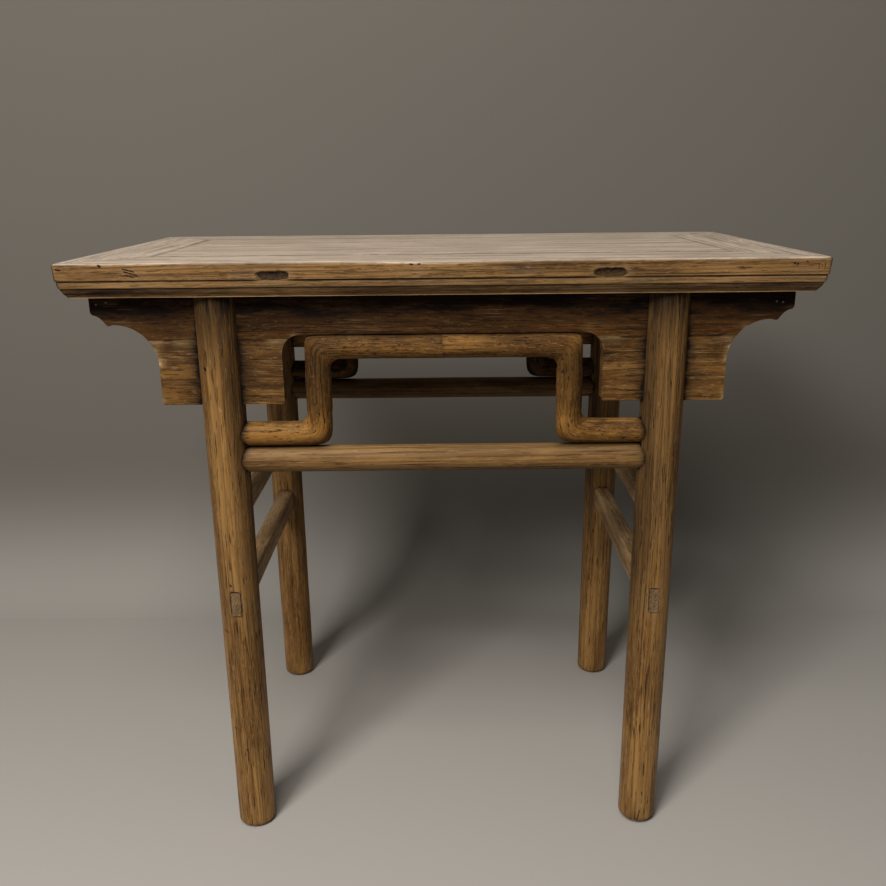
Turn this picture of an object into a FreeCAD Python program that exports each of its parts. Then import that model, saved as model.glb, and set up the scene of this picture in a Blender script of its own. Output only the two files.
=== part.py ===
import FreeCAD, Part
import math
import os

# Altar table in elm. A mitred frame holds a floating panel on two battens. Four round legs
# grip cloud-headed aprons and their spandrels in bridle slots. Straight stretchers carry
# humpback stretchers on the long sides, and pairs of rails join the legs at the ends.
# Millimetres. X runs along the table, Y from its front to its back, Z up from the floor.
# Every shape is made for the right-hand back quarter and mirrored to the other three.

V = FreeCAD.Vector
ORIGIN = V(0, 0, 0)
RIGHT = V(1, 0, 0)
BACK = V(0, 1, 0)
UP = V(0, 0, 1)

# Overall sizes
table_length = 977.0
table_depth = 524.0
table_height = 850.0

# Top frame and its moulded edge
slab_thickness = 44.6
frame_width = 96.0
slab_corner_radius = 5.0
frame_tenon_width = 52.0
frame_tenon_shoulder = 10.0
frame_tenon_drop_share = 0.67
frame_tenon_height_share = 0.28
frame_tenon_recess = 0.6

# Moulded edge from the top arris down, each point as set-in and drop, in shares of the
# slab's thickness: arris, fascia, quirk, bead, chamfer and the turn to the underside
arris_shares = [(0.1, 0.0), (0.029, 0.029), (0.0, 0.1)]
fascia_shares = [(0.0, 0.1), (0.04, 0.48)]
quirk_in_shares = [(0.04, 0.48), (0.1, 0.52)]
quirk_out_shares = [(0.1, 0.52), (0.078, 0.553)]
bead_shares = [(0.078, 0.553), (0.088, 0.645), (0.121, 0.715)]
chamfer_shares = [(0.121, 0.715), (0.202, 0.84), (0.296, 0.973)]
turn_shares = [(0.296, 0.973), (0.332, 1.0)]

# Floating panel and battens
panel_thickness = 13.0
panel_tongue_thickness = 6.5
panel_gap = 0.5
groove_depth = 10.0
panel_play = 1.0
batten_spacing = 424.0
batten_width = 42.0
batten_recess = 3.0
batten_tenon_drop_share = 0.445
batten_tenon_height_share = 0.29
batten_tenon_recess = 4.2
dovetail_depth = 4.5
dovetail_neck = 30.0
dovetail_head = 37.0

# Legs, measured to their axes
leg_end_inset = 191.7
leg_side_inset = 50.2
leg_diameter = 57.0
leg_toe_in = 4.2
leg_splay = 7.4
foot_round = 8.0
leg_tenon_length = 28.0
leg_tenon_thickness = 9.0
leg_tenon_setback = 1.5
leg_tenon_height = 22.0

# Cloud-headed aprons and spandrels
board_thickness = 20.0
apron_depth = 53.4
seam_depth = 58.7
spandrel_depth = 146.9
tip_inset = 28.5
tip_drop = 20.4
tip_round = 5.5
cove_width = 13.0
cove_fall = 11.2
cove_hollow = 1.6
nib_width = 3.5
nib_fall = 2.9
nib_lip = 1.6
wing_radius = 55.0
spandrel_outer_reach = 79.2
spandrel_inner_reach = 84.3
spandrel_inner_curve = 25.0
spandrel_outer_corner = 4.0
spandrel_inner_corner = 5.0
seam_tongue_thickness = 6.0
seam_tongue_depth = 6.0
seam_tongue_stop = 14.0
end_apron_height = 24.5
end_apron_thickness = 18.0
end_apron_inset = 2.5
end_tenon_depth = 6.0
end_tenon_thickness = 8.0
end_tenon_shoulder = 6.0

# Straight stretchers, humpback stretchers and side rails, dropped from the slab's underside
stretcher_drop = 226.0
stretcher_diameter = 37.0
stretcher_tenon_height = 24.0
humpback_diameter = 34.4
humpback_reach = 128.0
humpback_inner_round = 13.0
humpback_shoulder_round = 9.0
humpback_heel_round = 17.0
humpback_crotch_setback = 0.3
humpback_tenon_height = 20.0
humpback_joint_tenon = 18.0
humpback_joint_height = 16.0
stretcher_tenon_thickness = 12.0
stretcher_tenon_depth = 20.0
upper_rail_drop = 307.4
lower_rail_drop = 432.4
rail_width = 29.0
rail_height = 38.0
rail_round = 10.0
rail_tenon_thickness = 13.5
rail_tenon_height = 36.0
upper_tenon_height = 26.0
upper_tenon_depth = 22.0
through_tenon_recess = 2.0

# Fits
joint_clearance = 0.15
cope_clearance = 0.2
seat_gap = 0.2
overrun = 5.0

# Shares
foot_angle_shares = (0.0, 0.33, 0.67, 1.0)
corner_flat_shares = (0.25, 0.5, 0.75)

# Places worked out from the sizes
slab_under = table_height - slab_thickness
half_length = table_length / 2
half_depth = table_depth / 2
opening_x = half_length - frame_width
opening_y = half_depth - frame_width
leg_x = half_length - leg_end_inset
leg_y = half_depth - leg_side_inset
leg_radius = leg_diameter / 2
batten_x = batten_spacing / 2
panel_under = table_height - panel_thickness
tongue_top = panel_under + panel_tongue_thickness
tip_x = half_length - tip_inset
stretcher_z = slab_under - stretcher_drop
humpback_radius = humpback_diameter / 2
humpback_low_z = stretcher_z + stretcher_diameter / 2 + humpback_radius + seat_gap
humpback_high_z = slab_under - apron_depth - humpback_radius - seat_gap
humpback_x = leg_x - humpback_reach


def around(middle, width):
    """The span of a width about its middle."""
    return (middle - width / 2, middle + width / 2)


def grown(span, extra):
    """A span with a clearance added at both ends."""
    return (span[0] - extra, span[1] + extra)


def block(xs, ys, zs):
    """A box between two values along each axis."""
    size = V(xs[1] - xs[0], ys[1] - ys[0], zs[1] - zs[0])
    return Part.makeBox(size.x, size.y, size.z, V(xs[0], ys[0], zs[0]))


def pushed(edges, along):
    """The solid left by pushing a closed outline along a vector."""
    return Part.Face(Part.Wire(edges)).extrude(along)


def prism(corners, along):
    """The solid left by pushing a straight-sided outline along a vector."""
    return Part.Face(Part.makePolygon(corners + corners[:1])).extrude(along)


def line(start, end):
    return Part.LineSegment(start, end).toShape()


def curve(points):
    """A line through two points or an arc through three."""
    if len(points) == 2:
        return line(points[0], points[1])
    return Part.Arc(points[0], points[1], points[2]).toShape()


def quarter(start, corner, end):
    """The quarter of a circle that touches the two lines to a corner."""
    centre = start + end - corner
    middle = centre + (corner - centre) * math.cos(math.pi / 4)
    return curve([start, middle, end])


def hollow(start, end, depth):
    """A shallow arc between two points, its middle moved in from their line by a depth."""
    aside = BACK.cross(end - start)
    middle = (start + end) / 2 + aside.normalize() * depth
    return curve([start, middle, end])


def mirrored_x(shape):
    return shape.mirror(ORIGIN, RIGHT)


def mirrored_y(shape):
    return shape.mirror(ORIGIN, BACK)


def drop_span(drop_share, height_share):
    """The heights of a tenon in the slab, from shares of the slab's thickness."""
    middle = table_height - slab_thickness * drop_share
    return around(middle, slab_thickness * height_share)


# Top frame

frame_tenon_z = drop_span(frame_tenon_drop_share, frame_tenon_height_share)
frame_tenon_y = (opening_y + frame_tenon_shoulder, opening_y + frame_tenon_shoulder + frame_tenon_width)
batten_tenon_z = drop_span(batten_tenon_drop_share, batten_tenon_height_share)


def moulded_bar(reach, outward, along, half_run):
    """A frame member with its moulded edge outward, before its mitres are cut."""
    def at(share):
        set_in = reach - share[0] * slab_thickness
        drop = share[1] * slab_thickness
        return outward * set_in + UP * (table_height - drop) - along * half_run

    runs = [arris_shares, fascia_shares, quirk_in_shares, quirk_out_shares]
    runs += [bead_shares, chamfer_shares, turn_shares]
    edges = [curve([at(share) for share in run]) for run in runs]
    inner = outward * (reach - frame_width) - along * half_run
    inner_low = inner + UP * slab_under
    inner_high = inner + UP * table_height
    edges.append(line(at(turn_shares[-1]), inner_low))
    edges.append(line(inner_low, inner_high))
    edges.append(line(inner_high, at(arris_shares[0])))
    return pushed(edges, along * half_run * 2)


def slab_plan():
    """The slab's whole plan with its corners eased."""
    plan = block((-half_length, half_length), (-half_depth, half_depth), (slab_under, table_height))
    posts = [edge for edge in plan.Edges if abs(edge.tangentAt(edge.FirstParameter).z) > 0.5]
    return plan.makeFillet(slab_corner_radius, posts)


def mitred(bar, outer, inner):
    """A bar cut to its mitres, given the plan corners of its outer and inner edges."""
    corners = [outer[0], outer[1], inner[1], inner[0]]
    return bar.common(prism(corners, UP * slab_thickness)).common(slab_plan())


def panel_groove():
    """The groove round the inside of the frame, as one plate."""
    reach_x = opening_x + groove_depth
    reach_y = opening_y + groove_depth
    heights = grown((panel_under, tongue_top), joint_clearance)
    return block((-reach_x, reach_x), (-reach_y, reach_y), heights)


def leg_tenons(clearance):
    """The two tenons on a leg's head, one on each cheek of its bridle slot."""
    xs = grown(around(leg_x, leg_tenon_length), clearance)
    near = board_thickness / 2 + leg_tenon_setback
    far = near + leg_tenon_thickness
    heights = (slab_under - clearance, slab_under + leg_tenon_height + clearance)
    front = block(xs, grown((leg_y - far, leg_y - near), clearance), heights)
    back = block(xs, grown((leg_y + near, leg_y + far), clearance), heights)
    return [front, back]


def long_rail():
    """Back member of the top frame, with its through tenons."""
    bar = moulded_bar(half_depth, BACK, RIGHT, half_length)
    outer = [V(-half_length, half_depth, slab_under), V(half_length, half_depth, slab_under)]
    inner = [V(-opening_x, opening_y, slab_under), V(opening_x, opening_y, slab_under)]
    rail = mitred(bar, outer, inner)
    end_bar = moulded_bar(half_length - frame_tenon_recess, RIGHT, BACK, half_depth)
    tenon = block((opening_x - frame_tenon_recess, half_length), frame_tenon_y, frame_tenon_z)
    tenon = tenon.common(end_bar)
    rail = rail.fuse([tenon, mirrored_x(tenon)])
    mortise_y = (opening_y - overrun, half_depth + overrun)
    mortise_x = grown(around(batten_x, batten_width), joint_clearance)
    mortise = block(mortise_x, mortise_y, grown(batten_tenon_z, joint_clearance))
    cuts = [panel_groove(), mortise] + leg_tenons(joint_clearance)
    cuts += [mirrored_x(cut) for cut in cuts[1:]]
    return rail.cut(cuts)


def end_rail():
    """Right-hand member of the top frame, with the mortises for the long rails."""
    bar = moulded_bar(half_length, RIGHT, BACK, half_depth)
    outer = [V(half_length, -half_depth, slab_under), V(half_length, half_depth, slab_under)]
    inner = [V(opening_x, -opening_y, slab_under), V(opening_x, opening_y, slab_under)]
    rail = mitred(bar, outer, inner)
    mortise_x = (opening_x - overrun, half_length + overrun)
    mortise = block(mortise_x, grown(frame_tenon_y, joint_clearance), grown(frame_tenon_z, joint_clearance))
    return rail.cut([panel_groove(), mortise, mirrored_y(mortise)])


# Panel and battens


def dovetail(half_run, clearance):
    """The sliding dovetail along the top of the right-hand batten."""
    neck = dovetail_neck / 2 + clearance
    head = dovetail_head / 2 + clearance
    top = panel_under + dovetail_depth + clearance
    start = -half_run
    corners = [V(batten_x - neck, start, panel_under), V(batten_x + neck, start, panel_under)]
    corners += [V(batten_x + head, start, top), V(batten_x - head, start, top)]
    return prism(corners, BACK * half_run * 2)


def panel():
    """Floating panel: a tongued lower layer and a narrower face between the rails."""
    tongue_length = groove_depth - panel_play
    reach_x = opening_x + tongue_length
    reach_y = opening_y + tongue_length
    lower = block((-reach_x, reach_x), (-reach_y, reach_y), (panel_under, tongue_top))
    face_x = opening_x - panel_gap
    face_y = opening_y - panel_gap
    face = block((-face_x, face_x), (-face_y, face_y), (tongue_top, table_height))
    socket = dovetail(reach_y, joint_clearance)
    return lower.fuse(face).removeSplitter().cut([socket, mirrored_x(socket)])


def batten():
    """Right-hand batten under the panel, tenoned through both long rails."""
    xs = around(batten_x, batten_width)
    body = block(xs, (-opening_y, opening_y), (slab_under + batten_recess, panel_under))
    tenon_reach = half_depth - batten_tenon_recess
    tenon = block(xs, (-tenon_reach, tenon_reach), batten_tenon_z)
    return body.fuse([dovetail(opening_y, 0), tenon]).removeSplitter()


# Legs


def leg_axis(height):
    """Where the right-hand back leg's axis is at a height."""
    share = (slab_under - height) / slab_under
    return V(leg_x - leg_toe_in * share, leg_y + leg_splay * share, height)


def leg_shaft(extra):
    """The straight round of a leg, run past both its ends, with extra radius."""
    low = leg_axis(-overrun)
    run = leg_axis(slab_under + overrun) - low
    return Part.makeCylinder(leg_radius + extra, run.Length, low, run)


def leg_blank():
    """A leg's leaning round with its foot eased, cut level at the floor and the head."""
    foot = leg_axis(0)
    along = leg_axis(slab_under) - foot
    lean = math.hypot(leg_toe_in, leg_splay) / slab_under
    along.normalize()
    side = BACK.cross(along)
    side.normalize()
    start = foot - along * leg_radius * lean
    points = [start]
    for share in foot_angle_shares:
        angle = share * math.pi / 2
        radius = leg_radius - foot_round * (1 - math.sin(angle))
        points.append(start + side * radius + along * foot_round * (1 - math.cos(angle)))
    top = leg_axis(slab_under + overrun)
    points += [top + side * leg_radius, top]
    whole = Part.Face(Part.makePolygon(points + points[:1])).revolve(foot, along, 360)
    return whole.common(block((0, half_length), (0, half_depth), (0, slab_under)))


def leg():
    """Right-hand back leg with its bridle slot, head tenons and mortises."""
    whole = leg_blank().fuse(leg_tenons(0))
    slot_y = grown(around(leg_y, board_thickness), joint_clearance)
    slot_z = (slab_under - spandrel_depth - joint_clearance, table_height)
    slot = block(grown((leg_x, leg_x), leg_diameter), slot_y, slot_z)
    cuts = [slot, stretcher_tenon(joint_clearance), humpback_tenon(joint_clearance)]
    cuts += [lower_rail_tenon(joint_clearance), upper_rail_tenon(joint_clearance)]
    return whole.cut(cuts)


# Aprons and spandrels


def cloud_outline():
    """Right half of an apron with its spandrel, as edges in the plane of the legs' heads."""
    def at(x, drop):
        return V(x, leg_y - board_thickness / 2, slab_under - drop)

    outer_x = leg_x + spandrel_outer_reach
    inner_x = leg_x - spandrel_inner_reach
    arch_x = inner_x - spandrel_inner_curve
    under_tip = tip_drop + tip_round
    cove_x = tip_x - tip_round
    cove_stop = at(cove_x - cove_width, under_tip + cove_fall)
    nib = at(cove_x - cove_width - nib_width, under_tip + cove_fall + nib_fall)
    wing_drop = under_tip + cove_fall + nib_fall - nib_lip
    wing_x = outer_x + wing_radius
    wing_stop = wing_drop + wing_radius
    outer_turn = outer_x - spandrel_outer_corner
    outer_stop = spandrel_depth - spandrel_outer_corner
    inner_turn = inner_x + spandrel_inner_corner
    inner_stop = spandrel_depth - spandrel_inner_corner
    arch_z = apron_depth + spandrel_inner_curve
    edges = [line(at(0, 0), at(tip_x, 0)), line(at(tip_x, 0), at(tip_x, tip_drop))]
    edges.append(quarter(at(tip_x, tip_drop), at(tip_x, under_tip), at(cove_x, under_tip)))
    edges.append(hollow(at(cove_x, under_tip), cove_stop, cove_hollow))
    edges.append(line(cove_stop, nib))
    edges.append(line(nib, at(wing_x, wing_drop)))
    edges.append(quarter(at(wing_x, wing_drop), at(outer_x, wing_drop), at(outer_x, wing_stop)))
    edges.append(line(at(outer_x, wing_stop), at(outer_x, outer_stop)))
    outer_corner = at(outer_x, spandrel_depth)
    inner_corner = at(inner_x, spandrel_depth)
    edges.append(quarter(at(outer_x, outer_stop), outer_corner, at(outer_turn, spandrel_depth)))
    edges.append(line(at(outer_turn, spandrel_depth), at(inner_turn, spandrel_depth)))
    edges.append(quarter(at(inner_turn, spandrel_depth), inner_corner, at(inner_x, inner_stop)))
    edges.append(line(at(inner_x, inner_stop), at(inner_x, arch_z)))
    edges.append(quarter(at(inner_x, arch_z), at(inner_x, apron_depth), at(arch_x, apron_depth)))
    edges.append(line(at(arch_x, apron_depth), at(0, apron_depth)))
    edges.append(line(at(0, apron_depth), at(0, 0)))
    return edges


def cloud_board():
    """The right half of the board before it is parted at the seam."""
    return pushed(cloud_outline(), BACK * board_thickness)


def seam_tongue(clearance):
    """The tongue that a spandrel carries into its apron's lower edge."""
    seam_z = slab_under - seam_depth
    inner = leg_x - spandrel_inner_reach + seam_tongue_stop
    outer = leg_x + spandrel_outer_reach - seam_tongue_stop
    ys = grown(around(leg_y, seam_tongue_thickness), clearance)
    heights = (seam_z - clearance, seam_z + seam_tongue_depth + clearance)
    return block(grown((inner, outer), clearance), ys, heights)


def end_apron_tenon(clearance):
    """The stub tenon that the right-hand end apron carries into the back apron."""
    outer = tip_x - end_apron_inset
    xs = grown(around(outer - end_apron_thickness / 2, end_tenon_thickness), clearance)
    inner_face = leg_y - board_thickness / 2
    ys = grown((inner_face, inner_face + end_tenon_depth), clearance)
    low = slab_under - end_apron_height + end_tenon_shoulder
    high = slab_under - end_tenon_shoulder
    return block(xs, ys, grown((low, high), clearance))


def apron():
    """Back apron in one length, down to the seam."""
    above = block((0, half_length), (0, half_depth), (slab_under - seam_depth, slab_under))
    half = cloud_board().common(above)
    half = half.cut([seam_tongue(joint_clearance), end_apron_tenon(joint_clearance)])
    return half.fuse(mirrored_x(half)).removeSplitter()


def spandrel():
    """Right-hand back spandrel, in one piece through the leg's slot."""
    below = block((0, half_length), (0, half_depth), (0, slab_under - seam_depth))
    return cloud_board().common(below).fuse(seam_tongue(0)).removeSplitter()


def end_apron():
    """Right-hand end apron, between the tips of the long aprons."""
    outer = tip_x - end_apron_inset
    inner_face = leg_y - board_thickness / 2
    heights = (slab_under - end_apron_height, slab_under)
    board = block((outer - end_apron_thickness, outer), (-inner_face, inner_face), heights)
    return board.fuse([end_apron_tenon(0), mirrored_y(end_apron_tenon(0))]).removeSplitter()


# Stretchers


def tenon_into_leg(height, tenon_height, clearance):
    """A stub tenon that runs along X into the leg, centred on the leg's axis."""
    centre = leg_axis(height)
    shoulder = centre.x - leg_radius
    xs = (shoulder - overrun, shoulder + stretcher_tenon_depth + clearance)
    ys = grown(around(centre.y, stretcher_tenon_thickness), clearance)
    return block(xs, ys, grown(around(height, tenon_height), clearance))


def stretcher_tenon(clearance):
    return tenon_into_leg(stretcher_z, stretcher_tenon_height, clearance)


def humpback_tenon(clearance):
    return tenon_into_leg(humpback_low_z, humpback_tenon_height, clearance)


def coped_bar(height, radius, start_x, end_x, clearance):
    """A round bar along X, coped over the leg."""
    centre = leg_axis(height)
    bar = Part.makeCylinder(radius, end_x - start_x, V(start_x, centre.y, height), RIGHT)
    return bar.cut(leg_shaft(clearance))


def stretcher():
    """Back stretcher, straight and round, coped over both legs."""
    centre = leg_axis(stretcher_z)
    half = coped_bar(stretcher_z, stretcher_diameter / 2, 0, centre.x, cope_clearance)
    half = half.fuse(stretcher_tenon(0))
    return half.fuse(mirrored_x(half)).removeSplitter()


def humpback_run(bar, corner, shift):
    """The part of a bar between the mitre at a corner and the same mitre shifted along."""
    slant = (RIGHT + UP) * humpback_diameter
    start = corner - BACK * humpback_diameter
    plan = [start - slant, start + slant, start + slant + shift, start - slant + shift]
    return bar.common(prism(plan, BACK * humpback_diameter * 2))


def humpback_crotch(corner, inward):
    """The slanting round that fills the inside of a mitred corner."""
    radius = humpback_radius - humpback_crotch_setback
    reach = humpback_inner_round + radius
    turn = humpback_inner_round + humpback_radius
    centre = corner + inward * (turn - reach * math.sqrt(0.5))
    half_run = turn * math.sqrt(2) - reach
    along = (RIGHT - UP) * math.sqrt(0.5)
    return Part.makeCylinder(radius, half_run * 2, centre - along * half_run, along)


def humpback_corner_waste(corner, outward, rounding):
    """What is taken off outside a mitred corner to ease it by flats that touch a round."""
    middle = corner + outward * (humpback_radius - rounding) - BACK * humpback_diameter

    def at(share, reach, slide):
        cosine = math.cos(share * math.pi / 2)
        sine = math.sin(share * math.pi / 2)
        x = outward.x * (cosine * reach - sine * slide)
        z = outward.z * (sine * reach + cosine * slide)
        return middle + V(x, 0, z)

    shares = corner_flat_shares
    plan = [at(shares[0], rounding, -rounding)]
    for share, following in zip(shares, shares[1:]):
        half_step = (following - share) * math.pi / 4
        plan.append(at((share + following) / 2, rounding / math.cos(half_step), 0))
    plan.append(at(shares[-1], rounding, rounding))
    plan.append(middle + outward * (rounding + overrun))
    return prism(plan, BACK * humpback_diameter * 2)


def humpback_half():
    """Right half of the back humpback stretcher, from its middle joint to the leg."""
    leg_end = leg_axis(humpback_low_z)
    shoulder = V(humpback_x, leg_end.y, humpback_high_z)
    heel = V(humpback_x, leg_end.y, humpback_low_z)
    spare = humpback_diameter
    top = Part.makeCylinder(humpback_radius, humpback_x + spare, V(0, leg_end.y, humpback_high_z), RIGHT)
    fall = humpback_high_z - humpback_low_z
    upright = Part.makeCylinder(humpback_radius, fall + spare * 2, heel - UP * spare, UP)
    low = coped_bar(humpback_low_z, humpback_radius, humpback_x - spare, leg_end.x, cope_clearance)
    top = humpback_run(top, shoulder, RIGHT * -(humpback_x + spare))
    upright = humpback_run(upright, shoulder, heel - shoulder)
    low = humpback_run(low, heel, RIGHT * (humpback_reach + spare))
    outward = RIGHT + UP
    crotches = [humpback_crotch(shoulder, outward * -1), humpback_crotch(heel, outward)]
    whole = top.fuse([upright, low, humpback_tenon(0)] + crotches)
    shoulder_waste = humpback_corner_waste(shoulder, outward, humpback_shoulder_round)
    heel_waste = humpback_corner_waste(heel, outward * -1, humpback_heel_round)
    return whole.cut([shoulder_waste, heel_waste])


def humpback_joint(clearance):
    """The tenon across a humpback's middle, carried by its left half."""
    y = leg_axis(humpback_low_z).y
    ys = grown(around(y, stretcher_tenon_thickness), clearance)
    heights = grown(around(humpback_high_z, humpback_joint_height), clearance)
    return block((-humpback_joint_tenon, humpback_joint_tenon + clearance), ys, heights)


# Side rails


def lower_rail_tenon(clearance):
    """The lower side rail's through tenon in the right-hand back leg."""
    height = slab_under - lower_rail_drop
    centre = leg_axis(height)
    near = centre.y - leg_radius - overrun
    far = centre.y + leg_radius - through_tenon_recess
    if clearance:
        far = centre.y + leg_diameter
    xs = grown(around(centre.x, rail_tenon_thickness), clearance)
    return block(xs, (near, far), grown(around(height, rail_tenon_height), clearance))


def upper_rail_tenon(clearance):
    """The upper side rail's blind tenon in the right-hand back leg."""
    height = slab_under - upper_rail_drop
    centre = leg_axis(height)
    shoulder = centre.y - leg_radius
    xs = grown(around(centre.x, rail_tenon_thickness), clearance)
    ys = (shoulder - overrun, shoulder + upper_tenon_depth + clearance)
    return block(xs, ys, grown(around(height, upper_tenon_height), clearance))


def side_rail(height, tenon):
    """Right-hand side rail at a height: a soft-cornered bar coped over two legs."""
    centre = leg_axis(height)
    bar = block(around(centre.x, rail_width), (-centre.y, centre.y), around(height, rail_height))
    arrises = [edge for edge in bar.Edges if abs(edge.tangentAt(edge.FirstParameter).y) > 0.5]
    bar = bar.makeFillet(rail_round, arrises)
    saddle = leg_shaft(cope_clearance)
    bar = bar.cut([saddle, mirrored_y(saddle)])
    return bar.fuse([tenon, mirrored_y(tenon)]).removeSplitter()


def upper_rail():
    return side_rail(slab_under - upper_rail_drop, upper_rail_tenon(0))


def lower_rail():
    return side_rail(slab_under - lower_rail_drop, lower_rail_tenon(0))


# Nodes

nodes = {}


def add_front_and_back(name, shape):
    nodes["front_" + name] = mirrored_y(shape)
    nodes["back_" + name] = shape


def add_left_and_right(name, shape):
    nodes["left_" + name] = mirrored_x(shape)
    nodes["right_" + name] = shape


def add_quarters(name, shape):
    nodes["front_left_" + name] = mirrored_y(mirrored_x(shape))
    nodes["front_right_" + name] = mirrored_y(shape)
    nodes["back_left_" + name] = mirrored_x(shape)
    nodes["back_right_" + name] = shape


def add_humpbacks():
    """The left halves carry the joint tenons, and the right halves their mortises."""
    right = humpback_half()
    left = mirrored_x(right).fuse(humpback_joint(0))
    right = right.cut(humpback_joint(joint_clearance))
    nodes["back_left_humpback"] = left
    nodes["back_right_humpback"] = right
    nodes["front_left_humpback"] = mirrored_y(left)
    nodes["front_right_humpback"] = mirrored_y(right)


def build():
    add_front_and_back("top_rail", long_rail())
    add_left_and_right("top_rail", end_rail())
    nodes["top_panel"] = panel()
    add_left_and_right("batten", batten())
    add_quarters("leg", leg())
    add_front_and_back("apron", apron())
    add_quarters("spandrel", spandrel())
    add_left_and_right("end_apron", end_apron())
    add_front_and_back("stretcher", stretcher())
    add_humpbacks()
    add_left_and_right("upper_rail", upper_rail())
    add_left_and_right("lower_rail", lower_rail())


build()
os.makedirs("parts", exist_ok=True)
for node, solid in nodes.items():
    solid.exportStep("parts/" + node + ".step")
    print(node, solid.isValid(), len(solid.Solids), round(solid.Volume))
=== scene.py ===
import math

import bmesh
import bpy
import numpy as np
from mathutils import Matrix, Vector
from mathutils.bvhtree import BVHTree


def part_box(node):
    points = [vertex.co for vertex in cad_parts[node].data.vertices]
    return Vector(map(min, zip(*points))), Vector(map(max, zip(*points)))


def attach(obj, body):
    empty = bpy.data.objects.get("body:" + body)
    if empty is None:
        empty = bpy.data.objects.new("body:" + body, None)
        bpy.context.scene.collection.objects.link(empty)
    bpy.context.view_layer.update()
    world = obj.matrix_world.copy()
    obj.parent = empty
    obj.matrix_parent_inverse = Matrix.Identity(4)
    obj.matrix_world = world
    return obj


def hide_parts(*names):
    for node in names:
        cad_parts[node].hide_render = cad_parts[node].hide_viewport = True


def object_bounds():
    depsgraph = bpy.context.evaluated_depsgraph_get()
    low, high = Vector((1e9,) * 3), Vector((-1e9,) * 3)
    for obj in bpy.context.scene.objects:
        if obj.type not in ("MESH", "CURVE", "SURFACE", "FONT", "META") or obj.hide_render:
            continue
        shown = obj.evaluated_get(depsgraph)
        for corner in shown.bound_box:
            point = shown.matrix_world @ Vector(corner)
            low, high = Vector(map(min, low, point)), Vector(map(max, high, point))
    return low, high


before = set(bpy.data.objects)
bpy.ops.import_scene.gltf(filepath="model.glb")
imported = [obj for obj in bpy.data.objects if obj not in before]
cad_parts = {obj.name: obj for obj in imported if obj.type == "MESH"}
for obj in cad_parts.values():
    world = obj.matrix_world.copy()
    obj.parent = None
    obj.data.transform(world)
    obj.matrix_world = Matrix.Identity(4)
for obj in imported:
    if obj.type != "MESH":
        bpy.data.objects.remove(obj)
cad_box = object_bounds()

# Sizes in metres, from the frame where it has them

mm = 0.001
half_length, half_depth, table_top = cad_box[1]
slab_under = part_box("back_top_rail")[0].z
opening_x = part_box("right_top_rail")[0].x
opening_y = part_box("back_top_rail")[0].y
panel_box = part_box("top_panel")
batten_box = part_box("right_batten")
batten_x = (batten_box[0].x + batten_box[1].x) / 2
batten_width = batten_box[1].x - batten_box[0].x
pocket_middle_z = 832.8 * mm
pocket_depth = 5.6 * mm
panel_gap = 0.5 * mm
groove_depth = 10 * mm
groove_z = (836.85 * mm, 843.65 * mm)
mitre_gap = 0.15 * mm

leg_radius = 28.5 * mm
leg_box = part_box("back_right_leg")
leg_foot = np.array([leg_box[0].x + leg_radius, leg_box[1].y - leg_radius, 0])
spandrel_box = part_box("back_right_spandrel")
splay_x = (leg_box[1].x - leg_radius - leg_foot[0]) * slab_under / spandrel_box[0].z
leg_head = np.array([leg_foot[0] + splay_x, leg_box[0].y + leg_radius, slab_under])
foot_round = 9 * mm
worn_foot_round = 13 * mm
leg_foot_share = 0.978
leg_taper_share = 0.05
leg_flats = 13
flatness = 0.38
cope_gap = 0.2 * mm
touching = 0.1 * mm

apron_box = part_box("back_apron")
spandrel_x = (leg_head[0] - 84.3 * mm, leg_head[0] + 79.2 * mm)
seam_z = apron_box[0].z
board_y = (apron_box[0].y, apron_box[1].y)
tip_drop = 20.4 * mm
tip_round = 5.5 * mm
cove_width = 13 * mm
cove_fall = 11.2 * mm
cove_hollow = 1.6 * mm
cove_normal = (0.65, 0.76)
nib_width = 3.5 * mm
nib_fall = 2.9 * mm
nib_lip = 1.6 * mm
nib_ease = (0.8 * mm, 0.3 * mm, 0.1 * mm)
wing_radius = 55 * mm
apron_depth = 53.4 * mm
arch_radius = 25 * mm
spandrel_corners = (4 * mm, 5 * mm)

humpback_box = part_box("back_right_humpback")
humpback_radius = (humpback_box[1].y - humpback_box[0].y) / 2
humpback_upright_x = 168.8 * mm
humpback_inner_round = 13 * mm
humpback_gap = 0.02 * mm
shoulder_squareness = 9.0
heel_squareness = 5.0
rail_round = 10 * mm
rail_tenon = (13.5 * mm, 36 * mm)
rail_tenon_recess = 2 * mm
tenon_clearance = 0.3 * mm

# The camera as it stood for the photograph, about four feet in front of the table

camera_place = (0.28 * mm, -1412.18 * mm, 951.72 * mm)
camera_pitch = 16.39
camera_yaw = -0.04
camera_roll = 0.56
camera_lens = 37.03


# Outlines

def arc(centre, radius, start, end, steps):
    """Points on an arc between two angles in degrees, both ends included."""
    angles = np.radians(np.linspace(start, end, steps + 1))
    return [(centre[0] + radius * math.cos(a), centre[1] + radius * math.sin(a)) for a in angles]


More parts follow.
